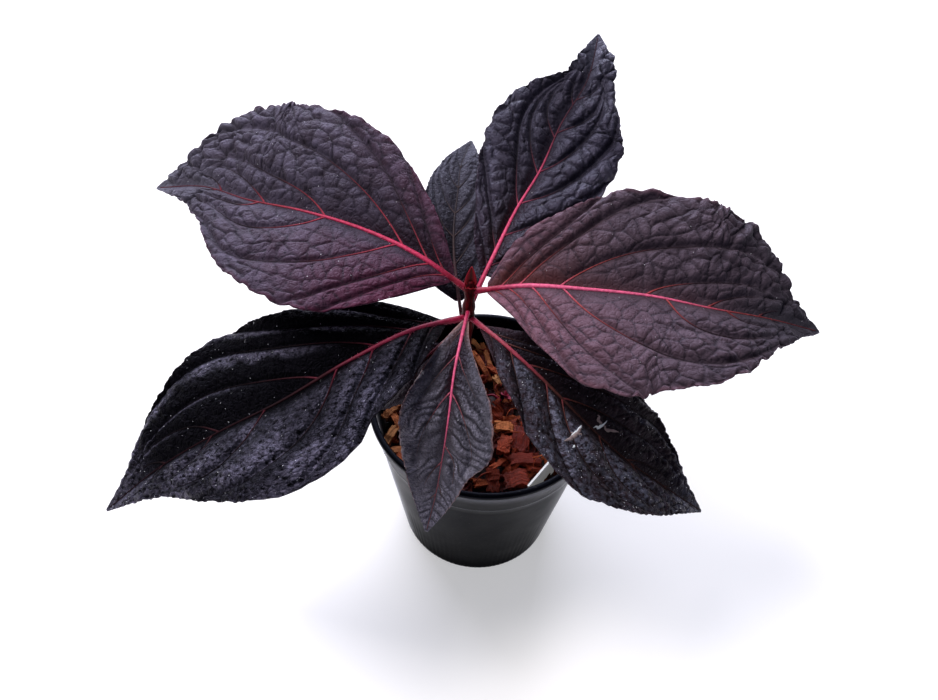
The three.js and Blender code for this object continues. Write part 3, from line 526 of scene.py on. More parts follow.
def make_mesh(name, points, faces, *materials, smooth=True, **stored):
    """A mesh object at the origin from points in millimetres. What is stored is a number, a
    place or a colour for each point, for its material."""
    mesh = bpy.data.meshes.new(name)
    mesh.from_pydata((np.asarray(points) * MM).tolist(), [], [list(face) for face in faces])
    for material in materials:
        mesh.materials.append(material)
    mesh.polygons.foreach_set("use_smooth", [smooth] * len(mesh.polygons))
    kinds = {1: ("FLOAT", "value"), 3: ("FLOAT_VECTOR", "vector"), 4: ("FLOAT_COLOR", "color")}
    for label, values in stored.items():
        kind, field = kinds[values.size // len(points)]
        mesh.attributes.new(label, kind, "POINT").data.foreach_set(field, values.ravel())
    piece = bpy.data.objects.new(name, mesh)
    bpy.context.scene.collection.objects.link(piece)
    return piece


def copy_piece(name, piece):
    copy = bpy.data.objects.new(name, piece.data.copy())
    bpy.context.scene.collection.objects.link(copy)
    return copy


def join(parts):
    """One list of points and faces, and of each kind of value, from several such parts"""
    points, faces, *values = zip(*parts)
    starts = np.cumsum([0, *map(len, points)])
    faces = [[i + start for i in face] for start, some in zip(starts, faces) for face in some]
    return [np.concatenate(points), faces, *map(np.concatenate, values)]


def face_outwards(piece):
    """Merges doubles and turns every face of a closed mesh outwards"""
    shape = bmesh.new()
    shape.from_mesh(piece.data)
    bmesh.ops.remove_doubles(shape, verts=shape.verts, dist=1e-6)
    bmesh.ops.recalc_face_normals(shape, faces=shape.faces)
    shape.to_mesh(piece.data)
    shape.free()
    return piece


def settle(piece):
    """Turns what a piece's modifiers make into its own plain mesh and removes them"""
    bpy.context.view_layer.update()
    graph = bpy.context.evaluated_depsgraph_get()
    old = piece.data
    mesh = bpy.data.meshes.new_from_object(piece.evaluated_get(graph), depsgraph=graph)
    piece.modifiers.clear()
    piece.data = mesh
    bpy.data.meshes.remove(old)
    return piece


def sheet_faces(grid):
    """Faces between the point numbers in a grid"""
    a, b, c, d = grid[:-1, :-1], grid[1:, :-1], grid[1:, 1:], grid[:-1, 1:]
    return np.stack([a, b, c, d], -1).reshape(-1, 4)


def wall_faces(rows, sides):
    """Faces between stacked rings of points"""
    first = np.arange(rows * sides).reshape(rows, sides)
    after = np.roll(first, -1, axis=1)
    return np.stack([first[:-1], after[:-1], after[1:], first[1:]], -1).reshape(-1, 4).tolist()


def steps_round(count):
    return np.linspace(0, 2 * np.pi, count, endpoint=False)


def ring(radius, z, angles):
    """Points of a ring about the pot's axis"""
    return np.stack([radius * np.cos(angles), radius * np.sin(angles), z + 0 * angles], 1)


def close_rings(rings, top, foot=None):
    """Points and faces of stacked rings, closed on the axis at the top and, if given, the foot"""
    sides, last = len(rings[0]), (len(rings) - 1) * len(rings[0])
    points = np.concatenate([*rings, [[0, 0, z] for z in (foot, top) if z is not None]])
    faces = wall_faces(len(rings), sides)
    for k in range(sides):
        after = (k + 1) % sides
        if foot is not None:
            faces.append((len(points) - 2, after, k))
        faces.append((len(points) - 1, last + k, last + after))
    return points, faces


def tube(path, ups, radii, sides, values=0.0, squash=1.0):
    """Points, faces and values of a closed tube along a path; ups point away from what it
    lies on, and a value is for a whole ring"""
    along = unit(np.gradient(path, axis=0))
    across = unit(np.cross(ups, along))
    ups = np.cross(along, across)
    angles = steps_round(sides)
    turned = np.cos(angles)[None, :, None] * across[:, None, :]
    turned = turned + squash * np.sin(angles)[None, :, None] * ups[:, None, :]
    points = (path[:, None, :] + np.asarray(radii)[:, None, None] * turned).reshape(-1, 3)
    faces = [*wall_faces(len(path), sides), range(sides)[::-1], range(len(points) - sides, len(points))]
    return points, faces, np.repeat(np.broadcast_to(values, len(path)), sides)


# Blades

def vein_start(from_rib, length):
    """How far nearer the blade's base a side vein runs where it leaves the midrib"""
    return VEIN["fork"] * np.exp(-from_rib / VEIN["fork_reach"]) / length


def vein_cells(veins, look, lean, u, far, half, length, salt):
    """Where points of one half lie among its side veins and puffed cells: the share of the
    way between two veins, in millimetres the distances to the nearer vein and to the nearest
    cell border, a random number for the cell, and how far the two veins are apart"""
    marks = np.array([[-0.04, 0.02], *veins, [1.02, 0.6]])
    forked = u + vein_start(far * half, length)
    lines = marks[:, 0, None] + marks[:, 1, None] * far ** 2
    index = (lines[1:-1] < forked).sum(0)
    point = np.arange(len(u))
    low, high = lines[index, point], lines[index + 1, point]
    share = np.clip((forked - low) / np.maximum(high - low, 1e-6), 0, 1)
    sweep = marks[index, 1] * (1 - share) + marks[index + 1, 1] * share
    width = (high - low) * length / np.sqrt(1 + (2 * sweep * far * length / half) ** 2)
    to_vein = np.minimum(share, 1 - share) * width
    # Rows of cells stand square to the side veins, which lean to the tip
    x, y = u * length, far * half
    x, y = x + 1.2 * noise(x / 7, y / 7, salt + 11), y + 1.2 * noise(x / 7, y / 7, salt + 12)
    down, across = look["cell"]
    lean = math.radians(lean)
    a = (y * math.cos(lean) - x * math.sin(lean)) / down
    b = (x * math.cos(lean) + y * math.sin(lean)) / across
    best, second, pick = np.full(len(u), 1e6), np.full(len(u), 1e6), np.zeros(len(u))
    for step_a, step_b in np.ndindex(3, 3):
        cell_a, cell_b = np.floor(a) + step_a - 1, np.floor(b) + step_b - 1
        seed_a = cell_a + 0.5 + 0.85 * (hashed(cell_a, cell_b, salt) - 0.5)
        seed_b = cell_b + 0.5 + 0.5 * (hashed(cell_a, cell_b, salt + 1) - 0.5)
        away = np.hypot((a - seed_a) * down, (b - seed_b) * across)
        nearer = away < best
        second = np.where(nearer, best, np.minimum(second, away))
        pick = np.where(nearer, hashed(cell_a, cell_b, salt + 2), pick)
        best = np.where(nearer, away, best)
    border = np.minimum(second - best, 1.5 * to_vein + 8 * ease(*BLADE["tip"], u))
    return share, to_vein, border, pick, width


def blade_points(name, u, v):
    """Points on the top of a blade: u runs from base to tip, v from the right margin at -1
    over the midrib to the left margin at 1. Also gives the up axes, the place on the blade
    in millimetres, the shares of flush, painted crease shade, gloom and base tone, the lift,
    and the share of waxy bloom and painted sheen."""
    leaf, look = LEAVES[name], LOOKS[name]
    salt = 3 * sorted(LEAVES).index(name) + 1
    length = blade_length(leaf)
    centre, left, up = leaf_frame(leaf, leaf["blade_start"] + (1 - leaf["blade_start"]) * u)
    far = np.abs(v)
    half = np.where(v > 0, smooth_read(leaf["left"], u)[0], smooth_read(leaf["right"], u)[0])
    half = np.maximum(half, BLADE["least"])
    found = np.zeros((5, len(u)))
    for side, veins in ((v > 0, leaf["left_veins"]), (v <= 0, leaf["right_veins"])):
        lean = look["lean"][0 if (v[side] * look["near"] > 0).any() else 1]
        side_salt = salt + 5 * (v[side] > 0).any()
        found[:, side] = vein_cells(veins, look, lean, u[side], far[side], half[side], length, side_salt)
    share, to_vein, border, pick, apart = found
    near = v * look["near"] > 0
    tip = ease(*BLADE["tip"], u)
    from_rib = far * half
    size = np.minimum(half / BLADE["full_half"], 1)
    puff = np.sin(np.pi * share) ** 0.7
    edge_fade = 1 - 0.6 * far ** 6
    roomy = np.clip(apart / BLADE["full_gap"], 0.04, 1) ** 1.3
    swell, sink = (np.where(near, *look[key]) for key in ("bulge", "furrow"))
    calm = 1 - look["calm"] * near * (1 - ease(0.3, 0.6, u))
    furrow = sink * size * puff * roomy * np.minimum(far * 5, 1) * edge_fade * calm * (1 - 0.8 * tip)
    wave = BLADE["wave"] * size * (puff - 0.5) * roomy * far ** 4
    mature = 0.4 + 0.6 * ease(0.1, 0.6, 0.7 * far + 0.7 * u)
    dome = 1 - np.exp(-border / (0.2 * look["cell"][1]))
    plump = np.minimum(half / (BLADE["full_half"] - 6 * tip), 1) * (1 + 0.5 * tip)
    bulge = swell * plump * mature * ease(0.6, 4, from_rib) * dome * (0.6 + 0.65 * pick)
    # Folds run outwards and to the tip: creases where the noise crosses zero, swollen between
    x, y, fine = u * length, v * half, look["fold"]
    run, across = 0.5 * x + 0.87 * from_rib + 60 * (v > 0), 0.5 * from_rib - 0.87 * x
    run, across = run + 1.5 * noise(x / 6, y / 6, salt + 13), across + 1.2 * noise(x / 5, y / 5, salt + 14)
    main, small = (np.abs(noise(run / long / fine, across / wide / fine, salt + k))
                   for (long, wide), k in ((BLADE["fold"], 0), (BLADE["small_fold"], 9)))
    worn = size * (0.25 + 0.75 * ease(0.25, 0.75, u)) * ease(0.05, 0.4, far)
    crumple = look["crumple"] * (2.2 * (main + 0.5 * small) - 0.9) * worn
    # Short wrinkles side by side, a few millimetres apart
    stroke = np.mod(across / BLADE["wrinkle"] + 0.9 * noise(run / 7, across / 6, salt + 15), 1)
    stroked = look["stroke"] * ease(0.15, 0.5, u) * ease(0.03, 0.2, far)
    stroked = stroked * (0.3 + 0.7 * ease(-0.4, 0.2, noise(run / 6, across / 3.5, salt + 16)))
    crumple += 1.5 * stroked * (ease(0, 0.4, stroke) * (1 - stroke) - 0.3)
    # Broader folds lie across the tip
    pleat = np.mod(across / BLADE["pleat"] + 0.5 * noise(run / 8, across / 9, salt + 17), 1)
    pleated = look["pleat"] * ease(0.6, 0.8, u) * ease(0.05, 0.3, far) * np.minimum(half / 6, 1)
    pleated = pleated * (0.4 + 0.6 * ease(-0.4, 0.2, noise(run / 8, across / 6, salt + 18)))
    crumple += 2.6 * pleated * (ease(0, 0.45, pleat) * (1 - pleat) - 0.3)
    # A side vein lies in a rounded trough
    trough = 1 - (1 - 0.8 * tip) * bell(to_vein, BLADE["trough"])
    furrow, bulge, crumple = furrow * trough, bulge * trough, crumple * trough
    groove = -0.25 * size * (1 - trough) * ease(0, 3, from_rib)
    lift = (leaf["fold"] * far - leaf["cup"] * far ** 2) * half + furrow + wave + bulge + groove + crumple
    # Teeth point to the tip, on rounded lobes with notches between them
    edge = x * 1.12 + 3 * salt + np.where(v > 0, 2, 0)
    tooth = BLADE["tooth"] * (np.mod(edge / BLADE["tooth_pitch"], 1) ** 1.6 - 0.4)
    turn = edge / BLADE["lobe_pitch"] + 0.4 * noise(edge / 13, 0 * edge, salt + 4)
    lobe = (np.abs(np.sin(np.pi * turn)) ** 0.6 - 0.75) * (0.35 + 0.9 * hashed(np.floor(turn), 0, salt))
    lobe = look["lobe"] * lobe * ease(0.15, 0.4, u)
    margin = (tooth + lobe) * np.minimum(half / 8, 1) * ease(0.84, 1, far) * ease(0.02, 0.1, u)
    point = centre + left * (v * half + np.sign(v) * margin)[:, None] + up * lift[:, None]
    # Tones
    flush = 0.75 * bell(u, look["flush_reach"]) * ease(0.25, 1, far) + look["edge"] * ease(0.95, 1, far)
    tint, tint_reach = look["near_tint"]
    inner = ease(0.02, 0.25, far) * (1 - 0.45 * ease(0.6, 1, far))
    flush += np.where(near, tint * bell(u, tint_reach) * inner, 0)
    # Painted shade along the cell borders, and in the folds, wrinkles and pleats
    crease = bell(border, BLADE["crease"]) * ease(1, 4, from_rib) * (0.3 + 0.7 * mature)
    crease = crease * np.minimum(1.5 * swell, 1)
    folded = min(look["crumple"], 0.9) * worn * bell(main * fine * 9, 1)
    for other in (folded, stroked * bell(stroke - 0.1, 0.17), 0.8 * pleated * bell(pleat - 0.08, 0.12)):
        crease = np.maximum(crease, other)
    gloom = ease(look["gloom_from"], 1, u + 0.08 * noise(x / 14, y / 14, salt + 6))
    base_reach, base_near = look["base_at"]
    base = 0.9 * bell(u, base_reach) * (1 - ease(0.35, 0.95, far))
    base = (base + 0.55 * bell(from_rib, 5) * (1 - u)) * np.where(near, base_near, 1)
    tissue = np.clip(np.stack([flush, crease, gloom, base], 1), 0, 1)
    # Waxy bloom and painted sheen over the near half, and painted sheen in bands by the far half's veins
    strong, weak = look["bloom"]
    ragged = share + 0.12 * noise(x / 5, y / 5, salt + 7)
    bands = (1 - ease(0.14, 0.4, ragged)) * ease(0.2, 0.5, far)
    bands = bands * (1 - 0.6 * ease(0.85, 1, far)) * ease(0.02, 0.1, share)
    patchy = 0.35 + 0.65 * ease(-0.35, 0.25, noise(x / 13, y / 11, salt + 8))
    bloom = np.where(near, strong * (1 - 0.7 * ease(0.35, 0.7, ragged)), weak * bands) * patchy
    # Painted highlights on the crests of the short wrinkles
    bloom += 0.65 * stroked * ease(0.25, 0.5, stroke) * (1 - ease(0.8, 1, stroke))
    bloom = bloom * ease(0.05, 0.3, u) * ease(0.03, 0.2, far) + 0.6 * strong * ease(0.8, 0.97, u)
    return point, up, np.stack([x, y], 1), tissue, lift, np.clip(bloom, 0, 1)


def lowest_near(lift):
    """The lowest of each grid value and its neighbours"""
    padded = np.pad(lift, 1, mode="edge")
    rows, columns = lift.shape
    return np.min([padded[i:i + rows, j:j + columns] for i, j in np.ndindex(3, 3)], axis=0)


def make_blade(name, underside):
    """A closed leaf blade: a fine quilted top, a smoother underside of every second point
    that keeps clear of the creases, and the cut edge between them"""
    leaf = LEAVES[name]
    rows = 2 * int(blade_length(leaf) / BLADE["step"] / 2)
    columns = 2 * int(max(leaf["left"] + leaf["right"]) / BLADE["step"] / 2 + 1)
    start = np.linspace(0, 1, rows + 1)
    lean = BLADE["sweep"] * (1 - start) * np.minimum(start / BLADE["sweep_from"], 1)
    v = np.linspace(-1, 1, 2 * columns + 1)
    u = np.minimum(start[:, None] + lean[:, None] * v[None, :] ** 2, 1)
    top, up, place, tissue, lift, bloom = blade_points(name, u.ravel(), np.broadcast_to(v, u.shape).ravel())
    lift = lift.reshape(u.shape)
    below = top - up * ((lift - lowest_near(lift)).ravel() + BLADE["thickness"])[:, None]
    fine = np.arange(len(top)).reshape(u.shape)
    kept = fine[::2, ::2].ravel()
    coarse = np.full(u.shape, -1)
    coarse[::2, ::2] = len(top) + np.arange(len(kept)).reshape(fine[::2, ::2].shape)
    points = np.concatenate([top, below[kept]])
    place, tissue, bloom = (np.concatenate([values, values[kept]]) for values in (place, tissue, bloom))
    tops, bottoms = sheet_faces(fine), sheet_faces(coarse[::2, ::2])[:, ::-1]
    rim = []
    for take, flip in ((np.s_[:, -1], True), (np.s_[:, 0], False), (np.s_[0], True), (np.s_[-1], False)):
        line, under = fine[take], coarse[take][::2]
        for k in range(len(under) - 1):
            p, m, q = line[2 * k:2 * k + 3]
            for face in ((p, under[k], m), (m, under[k], under[k + 1]), (m, under[k + 1], q)):
                rim.append(face[::-1] if flip else face)
    faces = [*tops.tolist(), *bottoms.tolist(), *rim]
    piece = make_mesh(f"blade_{name}", points, faces, blade_tissue(name, LOOKS[name]), underside,
                      tissue=tissue, bloom=bloom)
    slots = np.zeros(len(faces), int)
    slots[len(tops):len(tops) + len(bottoms)] = 1
    piece.data.polygons.foreach_set("material_index", slots)
    corners = np.zeros(len(piece.data.loops), int)
    piece.data.loops.foreach_get("vertex_index", corners)
    piece.data.uv_layers.new(name="blade_mm").data.foreach_set("uv", place[corners].ravel())
    return piece


# Stalks, stem and young leaves

def make_rib(name):
    """Stalk and midrib in one, with the side veins that leave it"""
    leaf, look = LEAVES[name], LOOKS[name]
    start, length = leaf["blade_start"], blade_length(leaf)
    share = np.linspace(0, start + (1 - start) * RIB["reach"], RIB["steps"])
    centre, _, up = leaf_frame(leaf, share)
    on_blade = np.clip((share - start) / (1 - start), 0, 1)
    scale = min(max(leaf["left"] + leaf["right"]) / 40, 1) ** 0.5
    radius = np.where(share < start, RIB["stem"] + (RIB["blade"] - RIB["stem"]) * share / start,
                      RIB["tip"] + (RIB["blade"] - RIB["tip"]) * (1 - on_blade) ** RIB["taper"]) * scale
    radius = radius * (1 + 0.04 * noise(share * 60, 0 * share, 5))
    centre = centre + up * (RIB["sink"] * radius)[:, None]
    pink = look["pink"]
    fade = 0.3 * ease(0, 0.24 * pink, share) + 0.6 * ease(0.45 * pink, 1.05 * pink, share)
    parts = [tube(centre, up, radius, RIB["sides"], np.minimum(fade, 1))]
    veins = [(1, leaf["left"], *vein) for vein in leaf["left_veins"]]
    veins += [(-1, leaf["right"], *vein) for vein in leaf["right_veins"]]
    for side, widths, at, sweep in veins:
        reach = min(0.9, math.sqrt(max(0.9 - at, 0.01) / sweep)) * (1 - 0.5 * max(at - 0.5, 0))
        reach *= look["reach"]
        far = np.linspace(0.004, reach, VEIN["steps"])
        half = smooth_read(widths, at + sweep * far ** 2)[0]
        course = at + sweep * far ** 2 - vein_start(far * half, length)
        top, up = blade_points(name, course, side * far)[:2]
        # The vein wanders a little about its course
        drift = noise(far * 9, 0 * far + at * 40, 8 + side)[:, None] * 0.1
        shrink = np.linspace(1, 0, VEIN["steps"]) ** 0.8
        size = scale * (0.55 + 0.45 * min(length * sweep / 40, 1))
        radius = (VEIN["end"] + (VEIN["start"] - VEIN["end"]) * shrink) * size
        # The path is smoothed, so that it doesn't copy every crease that it crosses
        smooth = top.copy()
        for _ in range(4):
            smooth[1:-1] = (smooth[:-2] + smooth[1:-1] + smooth[2:]) / 3
        lift = VEIN["lift"] * (0.9 * shrink + 0.1)
        path = smooth + up * lift[:, None] + np.cross(up, unit(np.gradient(top, axis=0))) * drift
        fade = np.minimum(0.45 + 0.9 * (1 - shrink) + 0.7 * max(at - 0.35, 0), 1)
        parts.append(tube(path, up, radius, VEIN["sides"], fade, VEIN["squash"]))
    points, faces, fade = join(parts)
    return make_mesh(f"rib_{name}", points, faces, rib_skin(name, look), fade=fade)


def stem_axis(above):
    share = (np.asarray(above, float) - STEM["foot"]) / (STEM["top"] - STEM["foot"])
    x = STEM["x"] + smooth_read(STEM["sway_x"], share)[0]
    y = STEM["y"] + smooth_read(STEM["sway_y"], share)[0]
    return np.stack([x, y, POT["height"] + above], -1)


def make_stem(skin):
    """The stem with its swollen nodes"""
    above = np.linspace(STEM["foot"], STEM["top"] - 1, 110)
    radius = np.full(len(above), float(STEM["radius"]))
    for node in STEM["nodes"]:
        swell = (STEM["node_radius"] - STEM["radius"]) * bell(above - node, STEM["node_span"])
        radius = np.maximum(radius, STEM["radius"] + swell)
    radius = np.minimum(radius, 0.9 + 0.4 * (STEM["top"] - above))
    return make_mesh("stem_body", *tube(stem_axis(above), [0.0, 1.0, 0.0], radius, 20)[:2], skin)


def young_leaf(root, heading, lean, length, width, rows=14, columns=9):
    """A keeled, pointed young leaf as a closed sliver: points, faces and how near its margin"""
    out = np.array([math.cos(heading), math.sin(heading), 0])
    side = np.array([-math.sin(heading), math.cos(heading), 0])
    rise = np.array([0, 0, 1]) * math.cos(lean) + out * math.sin(lean)
    face = np.cross(side, rise)
    s, t = np.linspace(0, 1, rows)[:, None], np.linspace(-1, 1, columns)[None, :]
    spread = width / 2 * (np.sin(np.pi * s ** 0.7) ** 0.8 * 0.93 + 0.07 * (1 - s))
    depth = 0.12 * length * s ** 2 - 0.32 * np.abs(t) * spread
    grid = root + s[..., None] * length * rise + (t * spread)[..., None] * side - depth[..., None] * -face
    flat, skin = grid.reshape(-1, 3), 0.25 * face / 2
    index = np.arange(rows * columns).reshape(rows, columns)
    under = rows * columns
    faces = [*sheet_faces(index)[:, [0, 3, 2, 1]].tolist(), *(sheet_faces(index) + under).tolist()]
    for line, flip in ((index[:, -1], False), (index[:, 0], True), (index[0], False), (index[-1], True)):
        for p, q in zip(line[:-1], line[1:]):
            rim = (p, p + under, q + under, q)
            faces.append(rim[::-1] if flip else rim)
    margin = np.broadcast_to(np.abs(t), (rows, columns)).ravel()
    return np.concatenate([flat + skin, flat - skin]), faces, np.concatenate([margin, margin])


def make_tip(skin):
    """The tuft of folded young leaves and bud scales on top of the stem"""
    root = stem_axis(np.array([STEM["top"] - 5.0]))[0]
    leaves = [
        (1.6, 0.05, 10.2, 4.8), (4.8, 0.7, 4.6, 3.0), (0.1, 0.4, 4.8, 2.6), (3.2, 0.4, 4.8, 2.6),
        (0.9, 0.95, 3.6, 2.2), (2.5, 1.0, 3.6, 2.2), (4.0, 0.8, 3.8, 2.2), (5.5, 0.8, 3.8, 2.2),
    ]
    points, faces, fade = join([young_leaf(root, *leaf) for leaf in leaves])
    return face_outwards(make_mesh("young_leaves", points, faces, skin, fade=fade))


def make_shoot(skin):
    """A crimson basal shoot that breaks through the chips, with the root strand beside it"""
    ground = float(bed_height(12)) + 2
    leaves = [(4.2, 0.5, 6.5, 3.4), (5.4, 0.9, 5, 3), (0.8, 0.6, 5, 2.8)]
    course = [[0.6, 9.2, ground], [3.4, 8.6, ground + 1.2], [6.8, 6.4, ground + 0.4]]
    path = smooth_read(course, np.linspace(0, 1, 14))[0]
    points, faces, fade = join([*(young_leaf(np.array([8.6, 9.4, ground]), *leaf) for leaf in leaves),
                                tube(path, [0.0, 0.0, 1.0], np.linspace(0.35, 0.65, 14), 8, 0.1)])
    return face_outwards(make_mesh("basal_shoot", points, faces, skin, fade=fade))


def make_scars():
    """Thin crusts along healed scratches"""
    parts, s = [], np.linspace(0, 1, 16)
    for places, width, brown in SCARS:
        u, v = (np.interp(s, np.linspace(0, 1, len(places)), line) for line in zip(*places))
        v = v + 0.03 * noise(s * 7, 0 * s, 31 * width)
        top, up = blade_points("front_right", u, v)[:2]
        radius = width * (0.15 + np.sin(np.pi * s) ** 0.8) * (1 + 0.35 * noise(s * 9, 0 * s, 17 * width))
        parts.append(tube(top + up * 0.12, up, radius, 8, 0.9 * brown, 0.4))
    points, faces, fade = join(parts)
    return make_mesh("scars_front_right", points, faces, scar_tissue(), fade=fade)


# Pot

def make_pot(skin):
    """The nursery pot: lip, flat band, shallow flutes that grow towards the foot, drain holes"""
    height, rim, foot, floor = POT["height"], POT["rim"], POT["foot"], POT["floor"]
    inner_top, inner_foot = POT["inner_top"], POT["inner_foot"]
    band_top = rim - POT["lip_out"]
    band_foot = band_top - POT["band_taper"]
    wall_out, wall_top = band_foot - POT["band_step"], height - POT["band"] - 0.5
    lip = height - POT["lip"]
    # Radius and height from the foot's edge up the outside, over the lip and down the inside
    outline = [
        (foot - 1.4, 0), (foot - 0.5, 0.25), (foot, 0.9),
        *((foot + s * (wall_out - foot), 0.9 + s * (wall_top - 0.9)) for s in np.linspace(0.03, 1, 16)),
        (band_foot - 0.1, height - POT["band"] - 0.1), (band_foot, height - POT["band"] + 0.3),
        (band_top, lip - 0.7), (rim - 0.9, lip - 0.45), (rim - 0.15, lip + 0.05), (rim, lip + 0.5),
        (rim, height - 0.6), (rim - 0.2, height - 0.15), (rim - 0.65, height),
        (inner_top + 0.9, height), (inner_top + 0.2, height - 0.3), (inner_top, height - 1),
        *((inner_top + s * (inner_foot - inner_top), height - 1 + s * (floor - height + 1))
          for s in np.linspace(0.05, 1, 12)),
    ]
    flutes, angles = POT["flutes"], steps_round(4 * POT["flutes"])
    uneven = 0.4 + hashed(np.floor(flutes * angles / 2 / np.pi + 0.5) % flutes, 0, 7)
    rings = []
    for radius, z in outline:
        outer = radius > inner_foot + (inner_top - inner_foot) * z / height + 0.9
        depth = POT["flute_depth"] * (outer and 0.8 < z < 60) * (1 - ease(4, 50, z)) * uneven
        wobble = POT["out_of_round"] * np.sin(2 * angles + 0.6) * z / height
        rings.append(ring(radius + depth * (np.cos(flutes * angles) - 1) + wobble, z, angles))
    piece = make_mesh("nursery_pot", *close_rings(rings, floor, foot=0), skin)
    drains = bmesh.new()
    for angle in steps_round(POT["drains"]) + math.pi / POT["drains"]:
        spot = Vector((POT["drain_circle"] * math.cos(angle), POT["drain_circle"] * math.sin(angle), 1)) * MM
        bmesh.ops.create_cone(drains, cap_ends=True, segments=28, radius1=POT["drain_radius"] * MM,
                              radius2=POT["drain_radius"] * MM, depth=8 * MM,
                              matrix=Matrix.Translation(spot))
    cutter = make_mesh("drain_cutter", [], [])
    drains.to_mesh(cutter.data)
    drains.free()
    cut = piece.modifiers.new("drains", "BOOLEAN")
    cut.operation, cut.solver, cut.object = "DIFFERENCE", "MANIFOLD", cutter
    settle(piece)
    bpy.data.objects.remove(cutter)
    return piece


# Geometry Nodes: hairs, specks, chips

def new_tree(name, **inputs):
    """An empty geometry tree with a geometry input and output and named number inputs"""
    tree = bpy.data.node_groups.new(name, "GeometryNodeTree")
    tree.interface.new_socket("Geometry", in_out="OUTPUT", socket_type="NodeSocketGeometry")
    for label, kind in {"Geometry": "Geometry", **inputs}.items():
        tree.interface.new_socket(label, in_out="INPUT", socket_type=f"NodeSocket{kind}")
    return tree, add(tree, "GroupInput").outputs


def dress(tree, grown, material):
    """Ends a tree with its material"""
    add(tree, "GroupOutput", add(tree, "SetMaterial", grown, Material=material))
    return tree


def grow(piece, tree, **values):
    """Runs a tree on a piece with the given inputs, by the sockets' identifiers"""
    modifier = piece.modifiers.new(tree.name, "NODES")
    modifier.node_group = tree
    for item in tree.interface.items_tree:
        if item.in_out == "INPUT" and item.name in values:
            modifier[item.identifier] = values[item.name]
    return settle(piece)


def hair_tree(material):
    """Short tapering hairs that stand on a rib where it is young and pink, a little tangled,
    and coarser than real ones, so that they show"""
    tree, given = new_tree("Hairs", Density="Float", Length="Float", Radius="Float", Seed="Int")
    seed = given["Seed"]
    fade = add(tree, "InputNamedAttribute", "fade", data_type="FLOAT")
    young = add(tree, "Compare", fade, 0.44, data_type="FLOAT", operation="LESS_THAN")
    spots = add(tree, "DistributePointsOnFaces", given["Geometry"], young, given["Density"], seed)
    cone = add(tree, "MeshCone", Vertices=3, Radius_Top=0, Radius_Bottom=given["Radius"],
               Depth=given["Length"], fill_type="NONE")
    tangle = add(tree, "RandomValue", (-0.7, -0.7, -3.1), (0.7, 0.7, 3.1), Seed=seed,
                 data_type="FLOAT_VECTOR")
    turned = add(tree, "RotateRotation", spots.outputs["Rotation"], tangle, rotation_space="LOCAL")
    size = add(tree, "RandomValue", 0.5, 1.25, Seed=seed, data_type="FLOAT")
    hairs = add(tree, "InstanceOnPoints", spots, Instance=cone, Rotation=turned, Scale=size)
    return dress(tree, add(tree, "RealizeInstances", hairs), material)


def speck_tree(material):
    """Flat round specks of dried water and dust that lie on a blade's upper side"""
    tree, given = new_tree("Specks", Density="Float", Radius="Float", Seed="Int")
    seed = given["Seed"]
    on_top = add(tree, "Compare", add(tree, "InputMaterialIndex"), 0, data_type="INT", operation="EQUAL")
    spots = add(tree, "DistributePointsOnFaces", given["Geometry"], on_top, given["Density"], seed)
    ball = add(tree, "MeshIcoSphere", given["Radius"], 1)
    size = add(tree, "RandomValue", (0.35, 0.35, 0.2), (1.5, 1.1, 0.6), Seed=seed,
               data_type="FLOAT_VECTOR")
    specks = add(tree, "InstanceOnPoints", spots, Instance=ball, Rotation=spots.outputs["Rotation"],
                 Scale=size)
    return dress(tree, add(tree, "RealizeInstances", specks), material)


def chip_tree(material):
    """Husk chips scattered over a surface: bent blocks of random size, lie and tone. Each
    keeps its own coordinates, so that its fibres run along it."""
    tree, given = new_tree("Husk chips", Spacing="Float", Smallest="Vector", Largest="Vector",
                           Lift="Float", Darkest="Float", Palest="Float", Seed="Int")
    seed = given["Seed"]
    spots = add(tree, "DistributePointsOnFaces", given["Geometry"], Distance_Min=given["Spacing"],
                Density_Max=60000, Seed=seed, distribute_method="POISSON")
    block = add(tree, "MeshCube", (1, 1, 1), 5, 4, 3)
    size, lie = (add(tree, "RandomValue", low, high, Seed=seed, data_type="FLOAT_VECTOR") for low, high in (
        (given["Smallest"], given["Largest"]), ((-0.55, -0.5, 0), (0.55, 0.5, 6.28))))
    marked = add(tree, "StoreNamedAttribute", block, Name="chip_place", Value=add(tree, "InputPosition"),
                 data_type="FLOAT_VECTOR", domain="POINT")
    chips = add(tree, "InstanceOnPoints", spots, Instance=marked, Rotation=add(tree, "EulerToRotation", lie),
                Scale=size)
    tone = add(tree, "RandomValue", given["Darkest"], given["Palest"], Seed=seed, data_type="FLOAT")
    toned = add(tree, "StoreNamedAttribute", chips, Name="chip_tone", Value=tone,
                data_type="FLOAT", domain="INSTANCE")
    raised = add(tree, "TranslateInstances", toned, Translation=add(tree, "CombineXYZ", Z=given["Lift"]),
                 Local_Space=False)
    # Broad waves bend a chip, and fine ones fray its faces
    waves = (add(tree, "TexNoise", Scale=1 / (wave * MM), Detail=detail).outputs["Color"]
             for wave, detail in ((5, 2), (1.9, 1)))
    pull, tug = (add(tree, "VectorMath", wave, (0.5, 0.5, 0.5), operation="SUBTRACT") for wave in waves)
    bend = add(tree, "VectorMath", pull, 4.5 * MM, operation="SCALE")
    both = add(tree, "VectorMath", tug, (2.6 * MM, 2.6 * MM, 2.2 * MM), bend, operation="MULTIPLY_ADD")
    bent = add(tree, "SetPosition", add(tree, "RealizeInstances", raised), Offset=both)
    return dress(tree, bent, material)


# Medium

def bed_height(radius):
    share = np.minimum(np.asarray(radius, float) / POT["inner_top"], 1)
    return POT["height"] - MEDIUM["bed"] + MEDIUM["crown"] * (1 - share ** 2)


